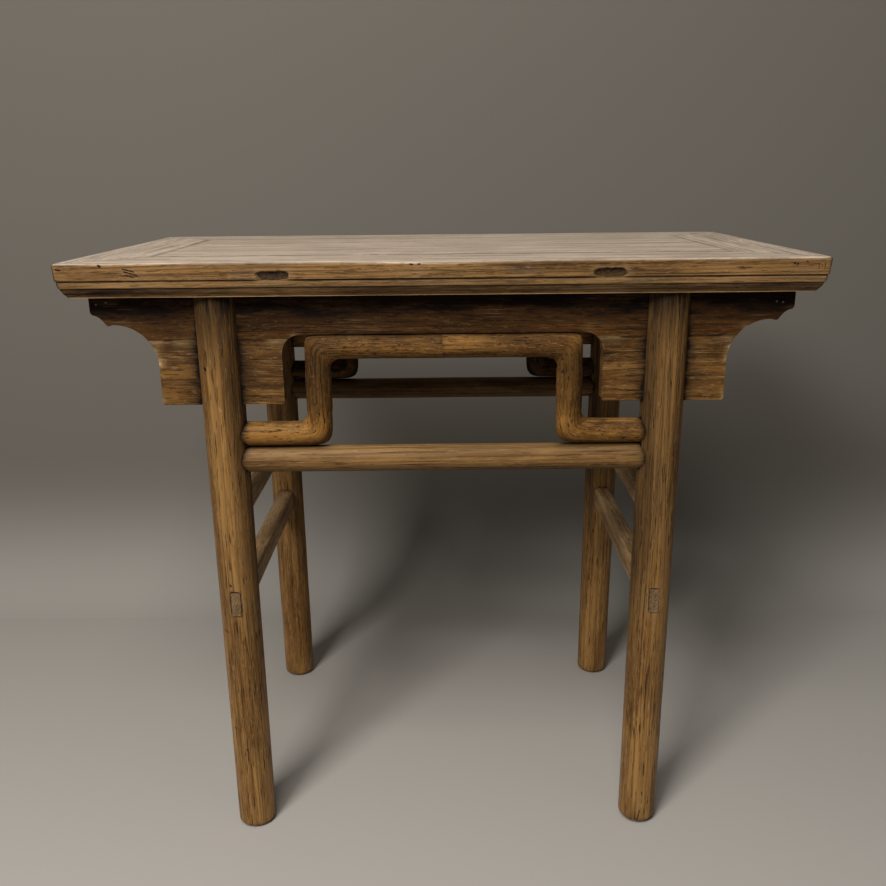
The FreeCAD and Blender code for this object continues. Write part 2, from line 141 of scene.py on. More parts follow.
def eased(corners, spacing):
    """A closed outline from corners (x, y, rounding), with its straight runs divided."""
    step_turn = 0.35
    support = 0.8 * mm
    points = []
    count = len(corners)
    for i in range(count):
        before = np.array(corners[i - 1][:2])
        corner = np.array(corners[i][:2])
        after = np.array(corners[(i + 1) % count][:2])
        into = (corner - before) / np.linalg.norm(corner - before)
        out = (after - corner) / np.linalg.norm(after - corner)
        turn = math.acos(np.clip(into @ out, -1, 1))
        rounding = corners[i][2]
        if rounding == 0 or turn < 0.01:
            points.append(corner)
            continue
        reach = rounding * math.tan(turn / 2)
        steps = max(2, round(turn / step_turn))
        start = corner - into * reach
        end = corner + out * reach
        for k in range(steps + 1):
            t = k / steps
            points.append((1 - t) ** 2 * start + 2 * t * (1 - t) * corner + t ** 2 * end)
    outline = []
    for i, point in enumerate(points):
        following = points[(i + 1) % len(points)]
        run = following - point
        length = np.linalg.norm(run)
        outline.append(point)
        if length < spacing(point, following):
            continue
        steps = math.ceil(length / spacing(point, following))
        shares = [k / steps for k in range(1, steps)]
        if length > support * 4:
            shares = sorted(shares + [support / length, 1 - support / length])
        outline += [point + run * share for share in shares]
    return np.array(outline)


# Unevenness

def ripple(points, wavelength, seed, waves=7):
    """A slow random unevenness between -1 and 1, longer along the first axis."""
    rng = np.random.default_rng(seed)
    total = np.zeros(len(points))
    for _ in range(waves):
        heading = rng.normal(size=3) * (0.3, 1, 1)
        pace = 2 * math.pi / (wavelength * np.linalg.norm(heading) * rng.uniform(0.6, 1.7))
        total += np.sin(points @ (heading * pace) + rng.uniform(0, 2 * math.pi))
    return total / math.sqrt(waves) / 1.5


# Meshes

def mesh_of(name, points, faces):
    mesh = bpy.data.meshes.new(name)
    mesh.from_pydata(np.asarray(points).tolist(), [], faces)
    return mesh


def swept(name, rings):
    """A closed mesh through rings of points, with a face at each end."""
    count, around = rings.shape[:2]
    index = np.arange(count * around).reshape(count, around)
    turned = np.roll(index, -1, axis=1)
    quads = np.stack([index[:-1], turned[:-1], turned[1:], index[1:]], axis=-1)
    faces = quads.reshape(-1, 4).tolist()
    faces.append(index[0][::-1].tolist())
    faces.append(index[-1].tolist())
    return mesh_of(name, rings.reshape(-1, 3), faces)


def board(name, outline, axes, start, thickness, arris, spacing):
    """A board from its outline on two axes, with eased arrises and divided faces."""
    border = arris + 1.5 * mm
    sharp_angle = math.radians(40)
    bm = bmesh.new()
    face = bm.faces.new([bm.verts.new((a, b, 0)) for a, b in outline])
    bmesh.ops.inset_individual(bm, faces=[face], thickness=border, use_even_offset=True)
    outline = np.array(outline)
    for axis, across in ((0, Vector((1, 0, 0))), (1, Vector((0, 1, 0)))):
        first = outline[:, axis].min() + spacing
        last = outline[:, axis].max()
        for value in np.arange(first, last, spacing):
            place = across * value
            everything = bm.verts[:] + bm.edges[:] + bm.faces[:]
            bmesh.ops.bisect_plane(bm, geom=everything, dist=0.05 * mm, plane_co=place, plane_no=across)
    made = bmesh.ops.extrude_face_region(bm, geom=bm.faces[:])
    raised = [item for item in made["geom"] if isinstance(item, bmesh.types.BMVert)]
    bmesh.ops.translate(bm, verts=raised, vec=(0, 0, thickness))
    bmesh.ops.recalc_face_normals(bm, faces=bm.faces[:])
    sharp = [edge for edge in bm.edges if edge.calc_face_angle(0) > sharp_angle]
    bmesh.ops.bevel(bm, geom=sharp, offset=arris, offset_type="OFFSET", segments=3,
                    profile=0.5, affect="EDGES", clamp_overlap=True)
    order = ["xyz".index(axis) for axis in axes]
    depth = 3 - sum(order)
    for vertex in bm.verts:
        place = [0, 0, 0]
        place[order[0]] = vertex.co.x
        place[order[1]] = vertex.co.y
        place[depth] = start + vertex.co.z
        vertex.co = place
    mesh = bpy.data.meshes.new(name)
    bm.to_mesh(mesh)
    bm.free()
    return mesh


def box_board(name, low, high, arris, spacing):
    """A board between two corners, its outline on its two longer axes."""
    sizes = [high[i] - low[i] for i in range(3)]
    depth = sizes.index(min(sizes))
    a, b = [i for i in range(3) if i != depth]
    outline = [(low[a], low[b]), (high[a], low[b]), (high[a], high[b]), (low[a], high[b])]
    return board(name, outline, "xyz"[a] + "xyz"[b], low[depth], sizes[depth], arris, spacing)


def joined(name, meshes):
    """One mesh from several."""
    bm = bmesh.new()
    for mesh in meshes:
        bm.from_mesh(mesh)
        bpy.data.meshes.remove(mesh)
    whole = bpy.data.meshes.new(name)
    bm.to_mesh(whole)
    bm.free()
    return whole


def mirrored(mesh, side_x, side_y):
    """Turns a mesh for the back right quarter into another quarter's."""
    mesh.transform(Matrix.Diagonal((side_x, side_y, 1, 1)))
    return mesh


# Wear, soiling, painted shade and painted highlights, painted on the points of each mesh

def points_of(mesh):
    points = np.zeros(len(mesh.vertices) * 3)
    mesh.vertices.foreach_get("co", points)
    return points.reshape(-1, 3)


def normals_of(mesh):
    normals = np.zeros(len(mesh.vertices) * 3, np.float32)
    mesh.vertex_normals.foreach_get("vector", normals)
    return normals.reshape(-1, 3).astype(float)


def edges_of(mesh):
    edges = np.zeros(len(mesh.edges) * 2, np.int32)
    mesh.edges.foreach_get("vertices", edges)
    return edges.reshape(-1, 2)


def spread(values, edges, rounds):
    """Values blurred along the edges of a mesh."""
    count = len(values)
    number = np.bincount(edges.ravel(), minlength=count) + 1
    for _ in range(rounds):
        total = values.copy()
        total += np.bincount(edges[:, 0], values[edges[:, 1]], count)
        total += np.bincount(edges[:, 1], values[edges[:, 0]], count)
        values = total / number
    return values


def arrises(mesh):
    """How convex the surface is at each point, from 0 on a flat to 1 on an arris."""
    least_bend = 55
    full_bend = 205
    points = points_of(mesh)
    normals = normals_of(mesh)
    edges = edges_of(mesh)
    run = points[edges[:, 1]] - points[edges[:, 0]]
    turn = normals[edges[:, 1]] - normals[edges[:, 0]]
    bend = (run * turn).sum(1) / np.maximum((run ** 2).sum(1), 1e-9)
    count = len(points)
    number = np.maximum(np.bincount(edges.ravel(), minlength=count), 1)
    total = np.bincount(edges[:, 0], bend, count) + np.bincount(edges[:, 1], bend, count)
    convex = np.clip((total / number - least_bend) / (full_bend - least_bend), 0, 1)
    return np.clip(spread(convex, edges, 2) * 1.6, 0, 1)


def nearness(mesh, nodes, reach):
    """How near each point is to the other parts of the table, 1 where they touch."""
    corners = []
    polygons = []
    for name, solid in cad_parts.items():
        if name in nodes:
            continue
        first = len(corners)
        corners += [vertex.co.copy() for vertex in solid.data.vertices]
        polygons += [[first + i for i in polygon.vertices] for polygon in solid.data.polygons]
    others = BVHTree.FromPolygons(corners, polygons)
    limit = reach * 4
    near = []
    for point in points_of(mesh):
        found = others.find_nearest(Vector(point), limit)
        near.append(math.exp(-found[3] / reach) if found[0] else 0)
    return np.array(near)


def paint(mesh, name, values):
    attribute = mesh.attributes.new(name, "FLOAT", "POINT")
    attribute.data.foreach_set("value", np.asarray(values, np.float32))


def paint_grain(mesh, points, along, pith, seed):
    """Where each point lies in its log: along it, and across it from the pith."""
    middle = (points.min(0) + points.max(0)) / 2
    order = ["xyz".index(axis) for axis in {"x": "xyz", "y": "yxz", "z": "zxy"}[along]]
    rng = np.random.default_rng(seed)
    most_runout = 0.015
    log_length = 6
    in_log = (points - middle)[:, order]
    runout = rng.uniform(-most_runout, most_runout, 2)
    in_log[:, 1:] += in_log[:, :1] * runout - pith
    in_log[:, 0] += rng.uniform(-log_length / 2, log_length / 2)
    attribute = mesh.attributes.new("grain", "FLOAT_VECTOR", "POINT")
    attribute.data.foreach_set("vector", in_log.astype(np.float32).ravel())
    return in_log


# Colours, in the 0 to 255 steps of a paint chart

def shade(red, green, blue):
    """A paint-chart colour as the renderer's linear colour."""
    linear = []
    for step in (red, green, blue):
        share = step / 255
        linear.append(share / 12.92 if share <= 0.04045 else ((share + 0.055) / 1.055) ** 2.4)
    return (*linear, 1)


soot = shade(20, 12, 7)
# The dark of dirt in joints, and also the colour of painted shade
dirt_and_shade_colour = shade(22, 13, 7)
wax_bloom = shade(96, 86, 74)
# The pale of worn wood and flecks, and also the colour of painted highlights
pale_wear_and_highlight = shade(196, 160, 110)
weathered_light = shade(220, 200, 177)
weathered_mid = shade(199, 179, 158)
weathered_dark = shade(106, 86, 66)
iron_dark = shade(70, 64, 56)
iron_bright = shade(124, 116, 104)
floor_grey = shade(203, 196, 186)
wall_grey = shade(118, 112, 103)


# Shader nodes

def node(tree, kind, inputs, **settings):
    """A node with its settings, whose inputs are values or links by name or number."""
    made = tree.nodes.new("ShaderNode" + kind)
    for name, value in settings.items():
        setattr(made, name, value)
    for key, value in inputs.items():
        if isinstance(value, bpy.types.NodeSocket):
            tree.links.new(value, made.inputs[key])
        else:
            made.inputs[key].default_value = value
    return made


def sum_of(tree, operation, *values):
    return node(tree, "Math", dict(enumerate(values)), operation=operation).outputs[0]


def fade(tree, value, start, end, low=0.0, high=1.0):
    """A smooth step from low at start to high at end."""
    inputs = {0: value, 1: start, 2: end, 3: low, 4: high}
    return node(tree, "MapRange", inputs, interpolation_type="SMOOTHSTEP").outputs[0]


def blend(tree, share, below, above, way="MIX"):
    """Two colours mixed by a share."""
    made = node(tree, "Mix", {0: share, 6: below, 7: above}, data_type="RGBA", blend_type=way)
    return made.outputs[2]


def vectors(tree, operation, *values):
    """The node of a vector operation."""
    return node(tree, "VectorMath", dict(enumerate(values)), operation=operation)


def stretched(tree, vector, scale):
    return vectors(tree, "MULTIPLY", vector, scale).outputs[0]


def times(tree, vector, number):
    """A vector scaled by a number that changes over the surface."""
    return node(tree, "VectorMath", {0: vector, "Scale": number}, operation="SCALE").outputs[0]


def noise(tree, vector, scale, detail=2.0, roughness=0.5):
    """A noise over a vector stretched by a scale for each axis."""
    inputs = {"Vector": stretched(tree, vector, scale), "Scale": 1.0}
    inputs.update({"Detail": detail, "Roughness": roughness})
    return node(tree, "TexNoise", inputs)


def speckle(tree, vector, scale, detail, roughness=0.5):
    """The plain value of a noise."""
    return noise(tree, vector, scale, detail, roughness).outputs["Fac"]


def wandering(tree, vector, scale, detail):
    """A vector that wanders to either side of zero."""
    colour = noise(tree, vector, scale, detail).outputs["Color"]
    return vectors(tree, "SUBTRACT", colour, (0.5, 0.5, 0.5)).outputs[0]


def group(name, inputs, outputs):
    """An empty node group with named sockets, and its first and last nodes."""
    tree = bpy.data.node_groups.new(name, "ShaderNodeTree")
    for label, kind in inputs.items():
        tree.interface.new_socket(label, in_out="INPUT", socket_type="NodeSocket" + kind)
    for label, kind in outputs.items():
        tree.interface.new_socket(label, in_out="OUTPUT", socket_type="NodeSocket" + kind)
    return tree, tree.nodes.new("NodeGroupInput"), tree.nodes.new("NodeGroupOutput")


def elm_figure_group():
    """Elm cut from a log: year rings, hairlines, dark streaks, pores, pale flecks and mottling."""
    inputs = {"Grain": "Vector", "Ring Width": "Float", "Wander": "Float"}
    parts = ("Rings", "Hairlines", "Streaks", "Pores", "Flecks", "Mottle")
    tree, start, end = group("elm_figure", inputs, dict.fromkeys(parts, "Float"))
    grain = start.outputs["Grain"]
    reach = times(tree, wandering(tree, grain, (2.6, 16, 16), 3), start.outputs["Wander"])
    moved = vectors(tree, "ADD", grain, reach).outputs[0]
    across = stretched(tree, moved, (0, 1, 1))
    radius = vectors(tree, "LENGTH", across).outputs["Value"]
    years = sum_of(tree, "DIVIDE", radius, start.outputs["Ring Width"])
    years = sum_of(tree, "MULTIPLY_ADD", speckle(tree, grain, (2.2, 40, 40), 2), 2.2, years)
    year = sum_of(tree, "FRACT", years)
    late = fade(tree, year, 0.35, 0.9)
    early = fade(tree, year, 0.91, 1.0, 1.0, 0.0)
    faint = fade(tree, speckle(tree, grain, (9, 55, 55), 3, 0.6), 0.3, 0.7, 0.15, 1.0)
    rings = sum_of(tree, "MULTIPLY", sum_of(tree, "MULTIPLY", late, early), faint)
    fine = speckle(tree, moved, (8, 190, 190), 2, 0.55)
    off_line = sum_of(tree, "ABSOLUTE", sum_of(tree, "SUBTRACT", fine, 0.5))
    hairs = fade(tree, off_line, 0.01, 0.036, 1.0, 0.0)
    patches = fade(tree, speckle(tree, grain, (9, 40, 40), 2), 0.38, 0.58, 0.25, 1.0)
    hairlines = sum_of(tree, "MULTIPLY", hairs, patches)
    streaks = fade(tree, speckle(tree, moved, (7, 240, 240), 3, 0.65), 0.53, 0.62)
    pores = fade(tree, speckle(tree, moved, (75, 480, 480), 2, 0.55), 0.61, 0.67)
    specks = node(tree, "SeparateColor", {0: noise(tree, moved, (150, 420, 420), 3, 0.65).outputs["Color"]})
    flecks = fade(tree, specks.outputs["Green"], 0.55, 0.62)
    mottle = fade(tree, speckle(tree, grain, (11, 34, 34), 6, 0.7), 0.4, 0.6)
    for part, mask in zip(parts, (rings, hairlines, streaks, pores, flecks, mottle)):
        tree.links.new(mask, end.inputs[part])
    return tree


def worn_and_highlit_arris_group():
    """Where handling has worn the finish off the arrises, with the painted highlights on the tops of round
    members and on the slab's lowest arris.
    """
    inputs = {"Arris": "Float", "Grain": "Vector", "Amount": "Float"}
    tree, start, end = group("worn_and_highlit_arris", inputs, {"Worn_and_Highlit": "Float"})
    patches = speckle(tree, start.outputs["Grain"], (14, 60, 60), 3, 0.6)
    patchy = fade(tree, patches, 0.3, 0.62, 0.15, 1.0)
    worn_and_highlit = sum_of(tree, "MULTIPLY", start.outputs["Arris"], patchy)
    tree.links.new(sum_of(tree, "MULTIPLY", worn_and_highlit, start.outputs["Amount"]), end.inputs["Worn_and_Highlit"])
    return tree


def grime_and_shade_group():
    """Dark wax and soiling gathered in corners and along joints, with the painted shade under the slab,
    under round members and on the shaded sides of legs and back members.
    """
    inputs = {"Nearness": "Float", "Grain": "Vector", "Amount": "Float"}
    tree, start, end = group("grime_and_shade_mix", inputs, {"Grime_and_Shade": "Float"})
    patches = speckle(tree, start.outputs["Grain"], (22, 70, 70), 3, 0.65)
    patchy = fade(tree, patches, 0.3, 0.7, 0.65, 1.25)
    grime_and_shade = sum_of(tree, "MULTIPLY", start.outputs["Nearness"], patchy)
    grime_and_shade = sum_of(tree, "MULTIPLY", grime_and_shade, start.outputs["Amount"])
    tree.links.new(sum_of(tree, "MINIMUM", grime_and_shade, 1.0), end.inputs["Grime_and_Shade"])
    return tree


def scratch_group():
    """Fine pale scratches along the grain, gathered in patches."""
    tree, start, end = group("scratches", {"Grain": "Vector", "Amount": "Float"}, {"Scratches": "Float"})
    grain = start.outputs["Grain"]
    lines = fade(tree, speckle(tree, grain, (16, 760, 760), 2, 0.6), 0.58, 0.7)
    patches = fade(tree, speckle(tree, grain, (18, 40, 40), 2), 0.42, 0.62)
    lines = sum_of(tree, "MULTIPLY", lines, patches)
    tree.links.new(sum_of(tree, "MULTIPLY", lines, start.outputs["Amount"]), end.inputs["Scratches"])
    return tree


def bloom_group():
    """The grey bloom of old wax and dust, in soft patches."""
    tree, start, end = group("wax_bloom", {"Grain": "Vector", "Amount": "Float"}, {"Bloom": "Float"})
    patches = fade(tree, speckle(tree, start.outputs["Grain"], (24, 38, 38), 4, 0.65), 0.5, 0.72)
    tree.links.new(sum_of(tree, "MULTIPLY", patches, start.outputs["Amount"]), end.inputs["Bloom"])
    return tree


def nick_group():
    """A small dark mark from one point to another, ragged along its sides."""
    inputs = {"Place": "Vector", "From": "Vector", "To": "Vector", "Half Width": "Float"}
    tree, start, end = group("nick", inputs, {"Mark": "Float"})
    ragged = wandering(tree, start.outputs["Place"], (600, 600, 600), 2)
    aside = stretched(tree, ragged, (1.2 * mm, 1.2 * mm, 1.2 * mm))
    place = vectors(tree, "ADD", start.outputs["Place"], aside).outputs[0]
    run = vectors(tree, "SUBTRACT", start.outputs["To"], start.outputs["From"]).outputs[0]
    away = vectors(tree, "SUBTRACT", place, start.outputs["From"]).outputs[0]
    along = vectors(tree, "DOT_PRODUCT", away, run).outputs["Value"]
    whole = vectors(tree, "DOT_PRODUCT", run, run).outputs["Value"]
    share = node(tree, "Clamp", {0: sum_of(tree, "DIVIDE", along, whole)}).outputs[0]
    gap = vectors(tree, "DISTANCE", away, times(tree, run, share)).outputs["Value"]
    depth = sum_of(tree, "DIVIDE", gap, start.outputs["Half Width"])
    tree.links.new(fade(tree, depth, 0.5, 1.1, 1.0, 0.0), end.inputs["Mark"])
    return tree


mark_stretch = (1, 0.25, 1)
elm_figure = elm_figure_group()
worn_and_highlit_arris = worn_and_highlit_arris_group()
grime_and_shade_mix = grime_and_shade_group()
scratches = scratch_group()
wax_patches = bloom_group()
nick = nick_group()


def placed(tree, effect, inputs):
    return node(tree, "Group", inputs, node_tree=effect)


def painted(tree, name, output="Fac"):
    return node(tree, "Attribute", {}, attribute_name=name).outputs[output]


def gathered_marks(tree, nicks):
    """All the nicks of a piece in one mask."""
    place = stretched(tree, node(tree, "TexCoord", {}).outputs["Object"], mark_stretch)
    marks = None
    for start, end, half_width in nicks:
        inputs = {"Place": place, "From": start, "To": end, "Half Width": half_width}
        one = placed(tree, nick, inputs).outputs[0]
        marks = one if marks is None else sum_of(tree, "MAXIMUM", marks, one)
    return marks


def elm(name, light, middle, dark, ring_width=4 * mm, wander=12 * mm, ring_depth=0.45, hair_depth=0.4,
        streak_depth=0.5, pore_depth=0.6, fleck=0.2, bloom=0.25, wear_and_highlight=0.55, grime_and_shade=1.0, scratch=0.0,
        weathered=False, nicks=(), shine=0.42, gloss=0.2, relief=0.9, run=1.0):
    """Old waxed elm, made from its figure, worn arrises with painted highlights, soiling with painted
    shade, and marks.
    """
    material = bpy.data.materials.new(name)
    material.use_nodes = True
    tree = material.node_tree
    tree.nodes.clear()
    grain = stretched(tree, painted(tree, "grain", "Vector"), (run, 1, 1))
    figure = placed(tree, elm_figure, {"Grain": grain, "Ring Width": ring_width, "Wander": wander}).outputs
    rings, hairs, streaks = figure["Rings"], figure["Hairlines"], figure["Streaks"]
    pores, flecks, mottle = figure["Pores"], figure["Flecks"], figure["Mottle"]

    def covered(colour, layers):
        for mask, depth, tint in layers:
            colour = blend(tree, sum_of(tree, "MULTIPLY", mask, depth), colour, tint)
        return colour

    def effect(kind, amount, **inputs):
        return placed(tree, kind, {"Grain": grain, "Amount": amount, **inputs}).outputs[0]

    layers = [(hairs, hair_depth, dark), (flecks, fleck, pale_wear_and_highlight), (rings, ring_depth, dark)]
    layers += [(streaks, streak_depth, dark), (pores, pore_depth, soot)]
    colour = covered(blend(tree, mottle, middle, light), layers)
    if weathered:
        bare_depths = [(hairs, 0.38), (rings, 0.42), (streaks, 0.55), (pores, 0.4)]
        layers = [(mask, depth, weathered_dark) for mask, depth in bare_depths]
        bare = covered(blend(tree, mottle, weathered_mid, weathered_light), layers)
        colour = blend(tree, painted(tree, "weathered"), colour, bare)
    if scratch:
        colour = blend(tree, effect(scratches, scratch), colour, pale_wear_and_highlight)
    colour = blend(tree, effect(wax_patches, bloom), colour, weathered_mid if weathered else wax_bloom)
    # Pale wear on the arrises, and painted highlights on the tops of round members and on the slab's lowest
    # arris
    worn_and_highlit = effect(worn_and_highlit_arris, wear_and_highlight, Arris=painted(tree, "arris"))
    colour = blend(tree, worn_and_highlit, colour, pale_wear_and_highlight)
    # Dirt at the joints, and painted shade under the slab, under round members and on shaded sides, in one
    # dark colour
    dirt_and_shade = effect(grime_and_shade_mix, grime_and_shade, Nearness=painted(tree, "grime_and_shade"))
    colour = blend(tree, dirt_and_shade, colour, dirt_and_shade_colour)
    sunk = [(pores, -0.9), (hairs, -0.6), (rings, -0.5), (streaks, -0.6)]
    if nicks:
        marks = gathered_marks(tree, nicks)
        colour = blend(tree, marks, colour, soot)
        sunk.append((marks, -3.0))
    height = flecks
    for mask, depth in sunk:
        height = sum_of(tree, "MULTIPLY_ADD", mask, depth, height)
    bump = node(tree, "Bump", {"Height": height, "Strength": relief, "Distance": 0.4 * mm})
    dull = sum_of(tree, "MULTIPLY_ADD", pores, 0.25, shine)
    dull = sum_of(tree, "MULTIPLY_ADD", dirt_and_shade, 0.25, dull)
    dull = sum_of(tree, "MULTIPLY_ADD", mottle, -0.06, dull)
    if weathered:
        dull = sum_of(tree, "MULTIPLY_ADD", painted(tree, "weathered"), 0.22, dull)
    surface = node(tree, "BsdfPrincipled", {"Base Color": colour, "Roughness": dull})
    tree.links.new(bump.outputs[0], surface.inputs["Normal"])
    surface.inputs["Specular IOR Level"].default_value = gloss
    node(tree, "OutputMaterial", {0: surface.outputs[0]})
    return material


def iron(name):
    """Old iron of the small nail heads, in dark and bright patches."""
    material = bpy.data.materials.new(name)
    material.use_nodes = True
    tree = material.node_tree
    surface = tree.nodes["Principled BSDF"]
    place = node(tree, "TexCoord", {}).outputs["Object"]
    rust = speckle(tree, place, (900, 900, 900), 3)
    colour = blend(tree, fade(tree, rust, 0.35, 0.65), iron_dark, iron_bright)
    tree.links.new(colour, surface.inputs["Base Color"])
    tree.links.new(fade(tree, rust, 0.3, 0.7, 0.4, 0.7), surface.inputs["Roughness"])
    surface.inputs["Metallic"].default_value = 0.5
    return material


# Marks on the front of the slab and on the legs, from one point to another, in millimetres

def mark(x1, y1, z1, x2, y2, z2, half_width):
    """A mark's ends, pressed flat towards the front as the place it is compared with is."""
    first = tuple(np.array((x1, y1, z1)) * mm * mark_stretch)
    last = tuple(np.array((x2, y2, z2)) * mm * mark_stretch)
    return first, last, half_width * mm


slab_nicks = [
    mark(-427.5, -262, 847.2, -425.5, -262, 846, 1.7),
    mark(-397.9, -262, 842.8, -384, -262, 839, 0.8),
    mark(-396.5, -262, 839.2, -381, -262, 835, 0.9),
    mark(-395.2, -262, 835.4, -386, -262, 832, 0.75),
    mark(-481, -262, 842.6, -476, -262, 841.6, 1.2),
    mark(439.7, -262, 842.4, 440.5, -262, 842.2, 1.3),
    mark(443.5, -262, 841.1, 444.4, -262, 841.3, 1.1),
    mark(455.6, -262, 844.4, 456.2, -262, 844.2, 1.1),
    mark(305.3, -262, 824.1, 305.9, -262, 823.9, 1.1),
    mark(470.4, -262, 841.5, 470.8, -262, 836, 0.5),
    mark(474.4, -262, 840, 474.9, -262, 837.5, 0.45),
    mark(478, -262, 842.5, 478.3, -262, 833.5, 0.5),
    mark(-39.4, -262, 845.6, -36.5, -262, 845.2, 1.2),
    mark(-29.5, -262, 845.4, -26.9, -262, 845.8, 1.1),
    mark(-96.3, -164.1, 850, -86, -164.9, 850, 1.3),
]
leg_nicks = [
    mark(-312.4, -235, 710.5, -311.6, -235.5, 709, 2.2),
    mark(-300.1, -246, 402.5, -299.3, -246, 401, 1.6),
    mark(-311.5, -240, 172.5, -309.5, -240, 170.8, 1.2),
    mark(-294.7, -246, 138, -293.5, -246, 137, 1.1),
    mark(291.5, -246, 26, 287, -246, 2, 0.8),
    mark(-296, -246, 26, -295.4, -246, 2, 0.5),
    mark(-330, -228, 512, -331, -228, 470, 0.6),
    mark(-315, -238, 330, -309, -240, 328, 1.0),
]

# Finishes

slab_elm = elm("slab_elm", shade(150, 111, 65), shade(110, 78, 43), shade(38, 23, 10),
               ring_width=4 * mm, ring_depth=0.5, hair_depth=0.6, streak_depth=0.5, weathered=True,
               wear_and_highlight=0.6, nicks=slab_nicks, shine=0.5, bloom=0.06, gloss=0.12, run=0.6)
leg_elm = elm("leg_elm", shade(168, 124, 69), shade(130, 91, 46), shade(46, 28, 11),
              ring_width=8 * mm, wander=12 * mm, ring_depth=0.45, hair_depth=0.55, streak_depth=0.35,
              pore_depth=0.75, fleck=0.3, nicks=leg_nicks, grime_and_shade=1.0, bloom=0.08, gloss=0.15, run=0.4)
stretcher_elm = elm("stretcher_elm", shade(154, 115, 66), shade(124, 88, 47), shade(54, 34, 15),
                    ring_width=6 * mm, ring_depth=0.5, hair_depth=0.6, streak_depth=0.5, pore_depth=0.6,
                    grime_and_shade=1.0, shine=0.45, bloom=0.03, gloss=0.15, relief=0.6, run=0.4)
humpback_elm = elm("humpback_elm", shade(158, 110, 50), shade(100, 65, 27), shade(34, 20, 7),
                   ring_width=4.5 * mm, wander=18 * mm, ring_depth=0.35, hair_depth=0.5, streak_depth=0.45,
                   pore_depth=0.8, fleck=0.3, bloom=0.02, grime_and_shade=1.05, shine=0.5, gloss=0.1)
side_rail_elm = elm("side_rail_elm", shade(178, 143, 100), shade(140, 106, 68), shade(50, 33, 18),
                    ring_depth=0.35, streak_depth=0.35, grime_and_shade=0.5, run=0.6)
apron_elm = elm("apron_elm", shade(108, 69, 28), shade(76, 46, 17), shade(24, 13, 5),
                ring_width=6 * mm, wander=16 * mm, ring_depth=0.4, hair_depth=0.6, streak_depth=0.4,
                wear_and_highlight=0.7, scratch=0.4, grime_and_shade=1.1, shine=0.5, fleck=0.15, bloom=0.03, gloss=0.08, run=0.7)
spandrel_elm = elm("spandrel_elm", shade(130, 91, 44), shade(88, 57, 24), shade(26, 14, 5),
                   ring_width=5 * mm, wander=20 * mm, ring_depth=0.35, hair_depth=0.6, streak_depth=0.4,
                   wear_and_highlight=1.3, scratch=0.4, grime_and_shade=1.15, shine=0.5, fleck=0.2, bloom=0.05, gloss=0.1, run=0.7)
batten_elm = elm("batten_elm", shade(104, 74, 42), shade(72, 48, 26), shade(32, 19, 9), bloom=0.0)
nail_iron = iron("nail_iron")


# Pieces

# How each kind of piece was sawn and planed, in millimetres: where the pith of its log lies across
# the grain, how deep the plane's unevenness is and how far dirt reaches from a joint

workings = {
    "long rail": (-30, -75, 0.25, 1.6), "end rail": (-20, -60, 0.25, 1.6), "panel": (40, -110, 0.35, 1.6),
    "batten": (8, 30, 0.25, 3), "stretcher": (-24, 14, 0.5, 5), "humpback": (10, -30, 0.6, 5),
    "side rail": (22, -12, 0.4, 5), "apron": (-45, 20, 0.25, 6), "spandrel": (-35, -15, 0.25, 11),
    "end apron": (30, 10, 0.25, 7), "leg": (0, 0, 0.5, 5),
}
pith_beside_leg = (-38 * mm, -22 * mm)
pith_before_leg = 30 * mm
hollow_length = 90 * mm
chatter_length = 35 * mm
weathered_edge = (3 * mm, 6 * mm)


def worked(kind, side=1):
    """A kind of piece's pith, unevenness and reach of dirt, the pith on a given side."""
    aside, down, planing, reach = workings[kind]
    return {"pith": (side * aside * mm, down * mm), "planing": planing * mm, "reach": reach * mm}


def finished(name, mesh, along, finish, slot, nodes, pith, planing, reach,
             straightened=None, beside=(), soiled_and_shaded=None, worn_and_highlit=None):
    """A piece of the table: its surface made uneven, its wear, soiling, painted shade and painted
    highlights painted on, and its node replaced.
    """
    bm = bmesh.new()
    bm.from_mesh(mesh)
    bmesh.ops.recalc_face_normals(bm, faces=bm.faces[:])
    bm.to_mesh(mesh)
    bm.free()
    seed = sum(ord(letter) * (i + 3) for i, letter in enumerate(name))
    points = points_of(mesh)
    in_log = paint_grain(mesh, points if straightened is None else straightened, along, pith, seed)
    hollows = ripple(in_log, hollow_length, seed) * 0.5
    chatter = ripple(in_log, chatter_length, seed + 1) * 0.2
    depth = np.minimum(hollows + chatter - 0.7, 0) * planing
    uneven = points + normals_of(mesh) * depth[:, None]
    halves_meet = np.abs(points[:, 0]) < touching
    uneven[halves_meet, 0] = points[halves_meet, 0]
    points = np.clip(uneven, points.min(0), points.max(0))
    mesh.vertices.foreach_set("co", points.astype(np.float32).ravel())
    mesh.update()
    convex = arrises(mesh)
    paint(mesh, "arris", worn_and_highlit(points, convex) if worn_and_highlit else convex)
    near = nearness(mesh, [*nodes, *beside], reach)
    paint(mesh, "grime_and_shade", soiled_and_shaded(points, near) if soiled_and_shaded else near)
    if finish is slab_elm:
        upward = np.clip((normals_of(mesh)[:, 2] - 0.25) / 0.55, 0, 1)
        drop = table_top - points[:, 2]
        paint(mesh, "weathered", upward * np.interp(drop, weathered_edge, [1, 0]))
    mesh.shade_smooth()
    mesh.set_sharp_from_angle(angle=math.radians(42))
    mesh.materials.append(finish)
    piece = bpy.data.objects.new(name, mesh)
    bpy.context.scene.collection.objects.link(piece)
    weighted = piece.modifiers.new("flat faces stay flat", "WEIGHTED_NORMAL")
    weighted.keep_sharp = True
    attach(piece, "root")
    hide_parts(*nodes)
    return piece


# The moulded frame of the top

# The edge's section from the top down in millimetres: set-in, drop and easing of each corner

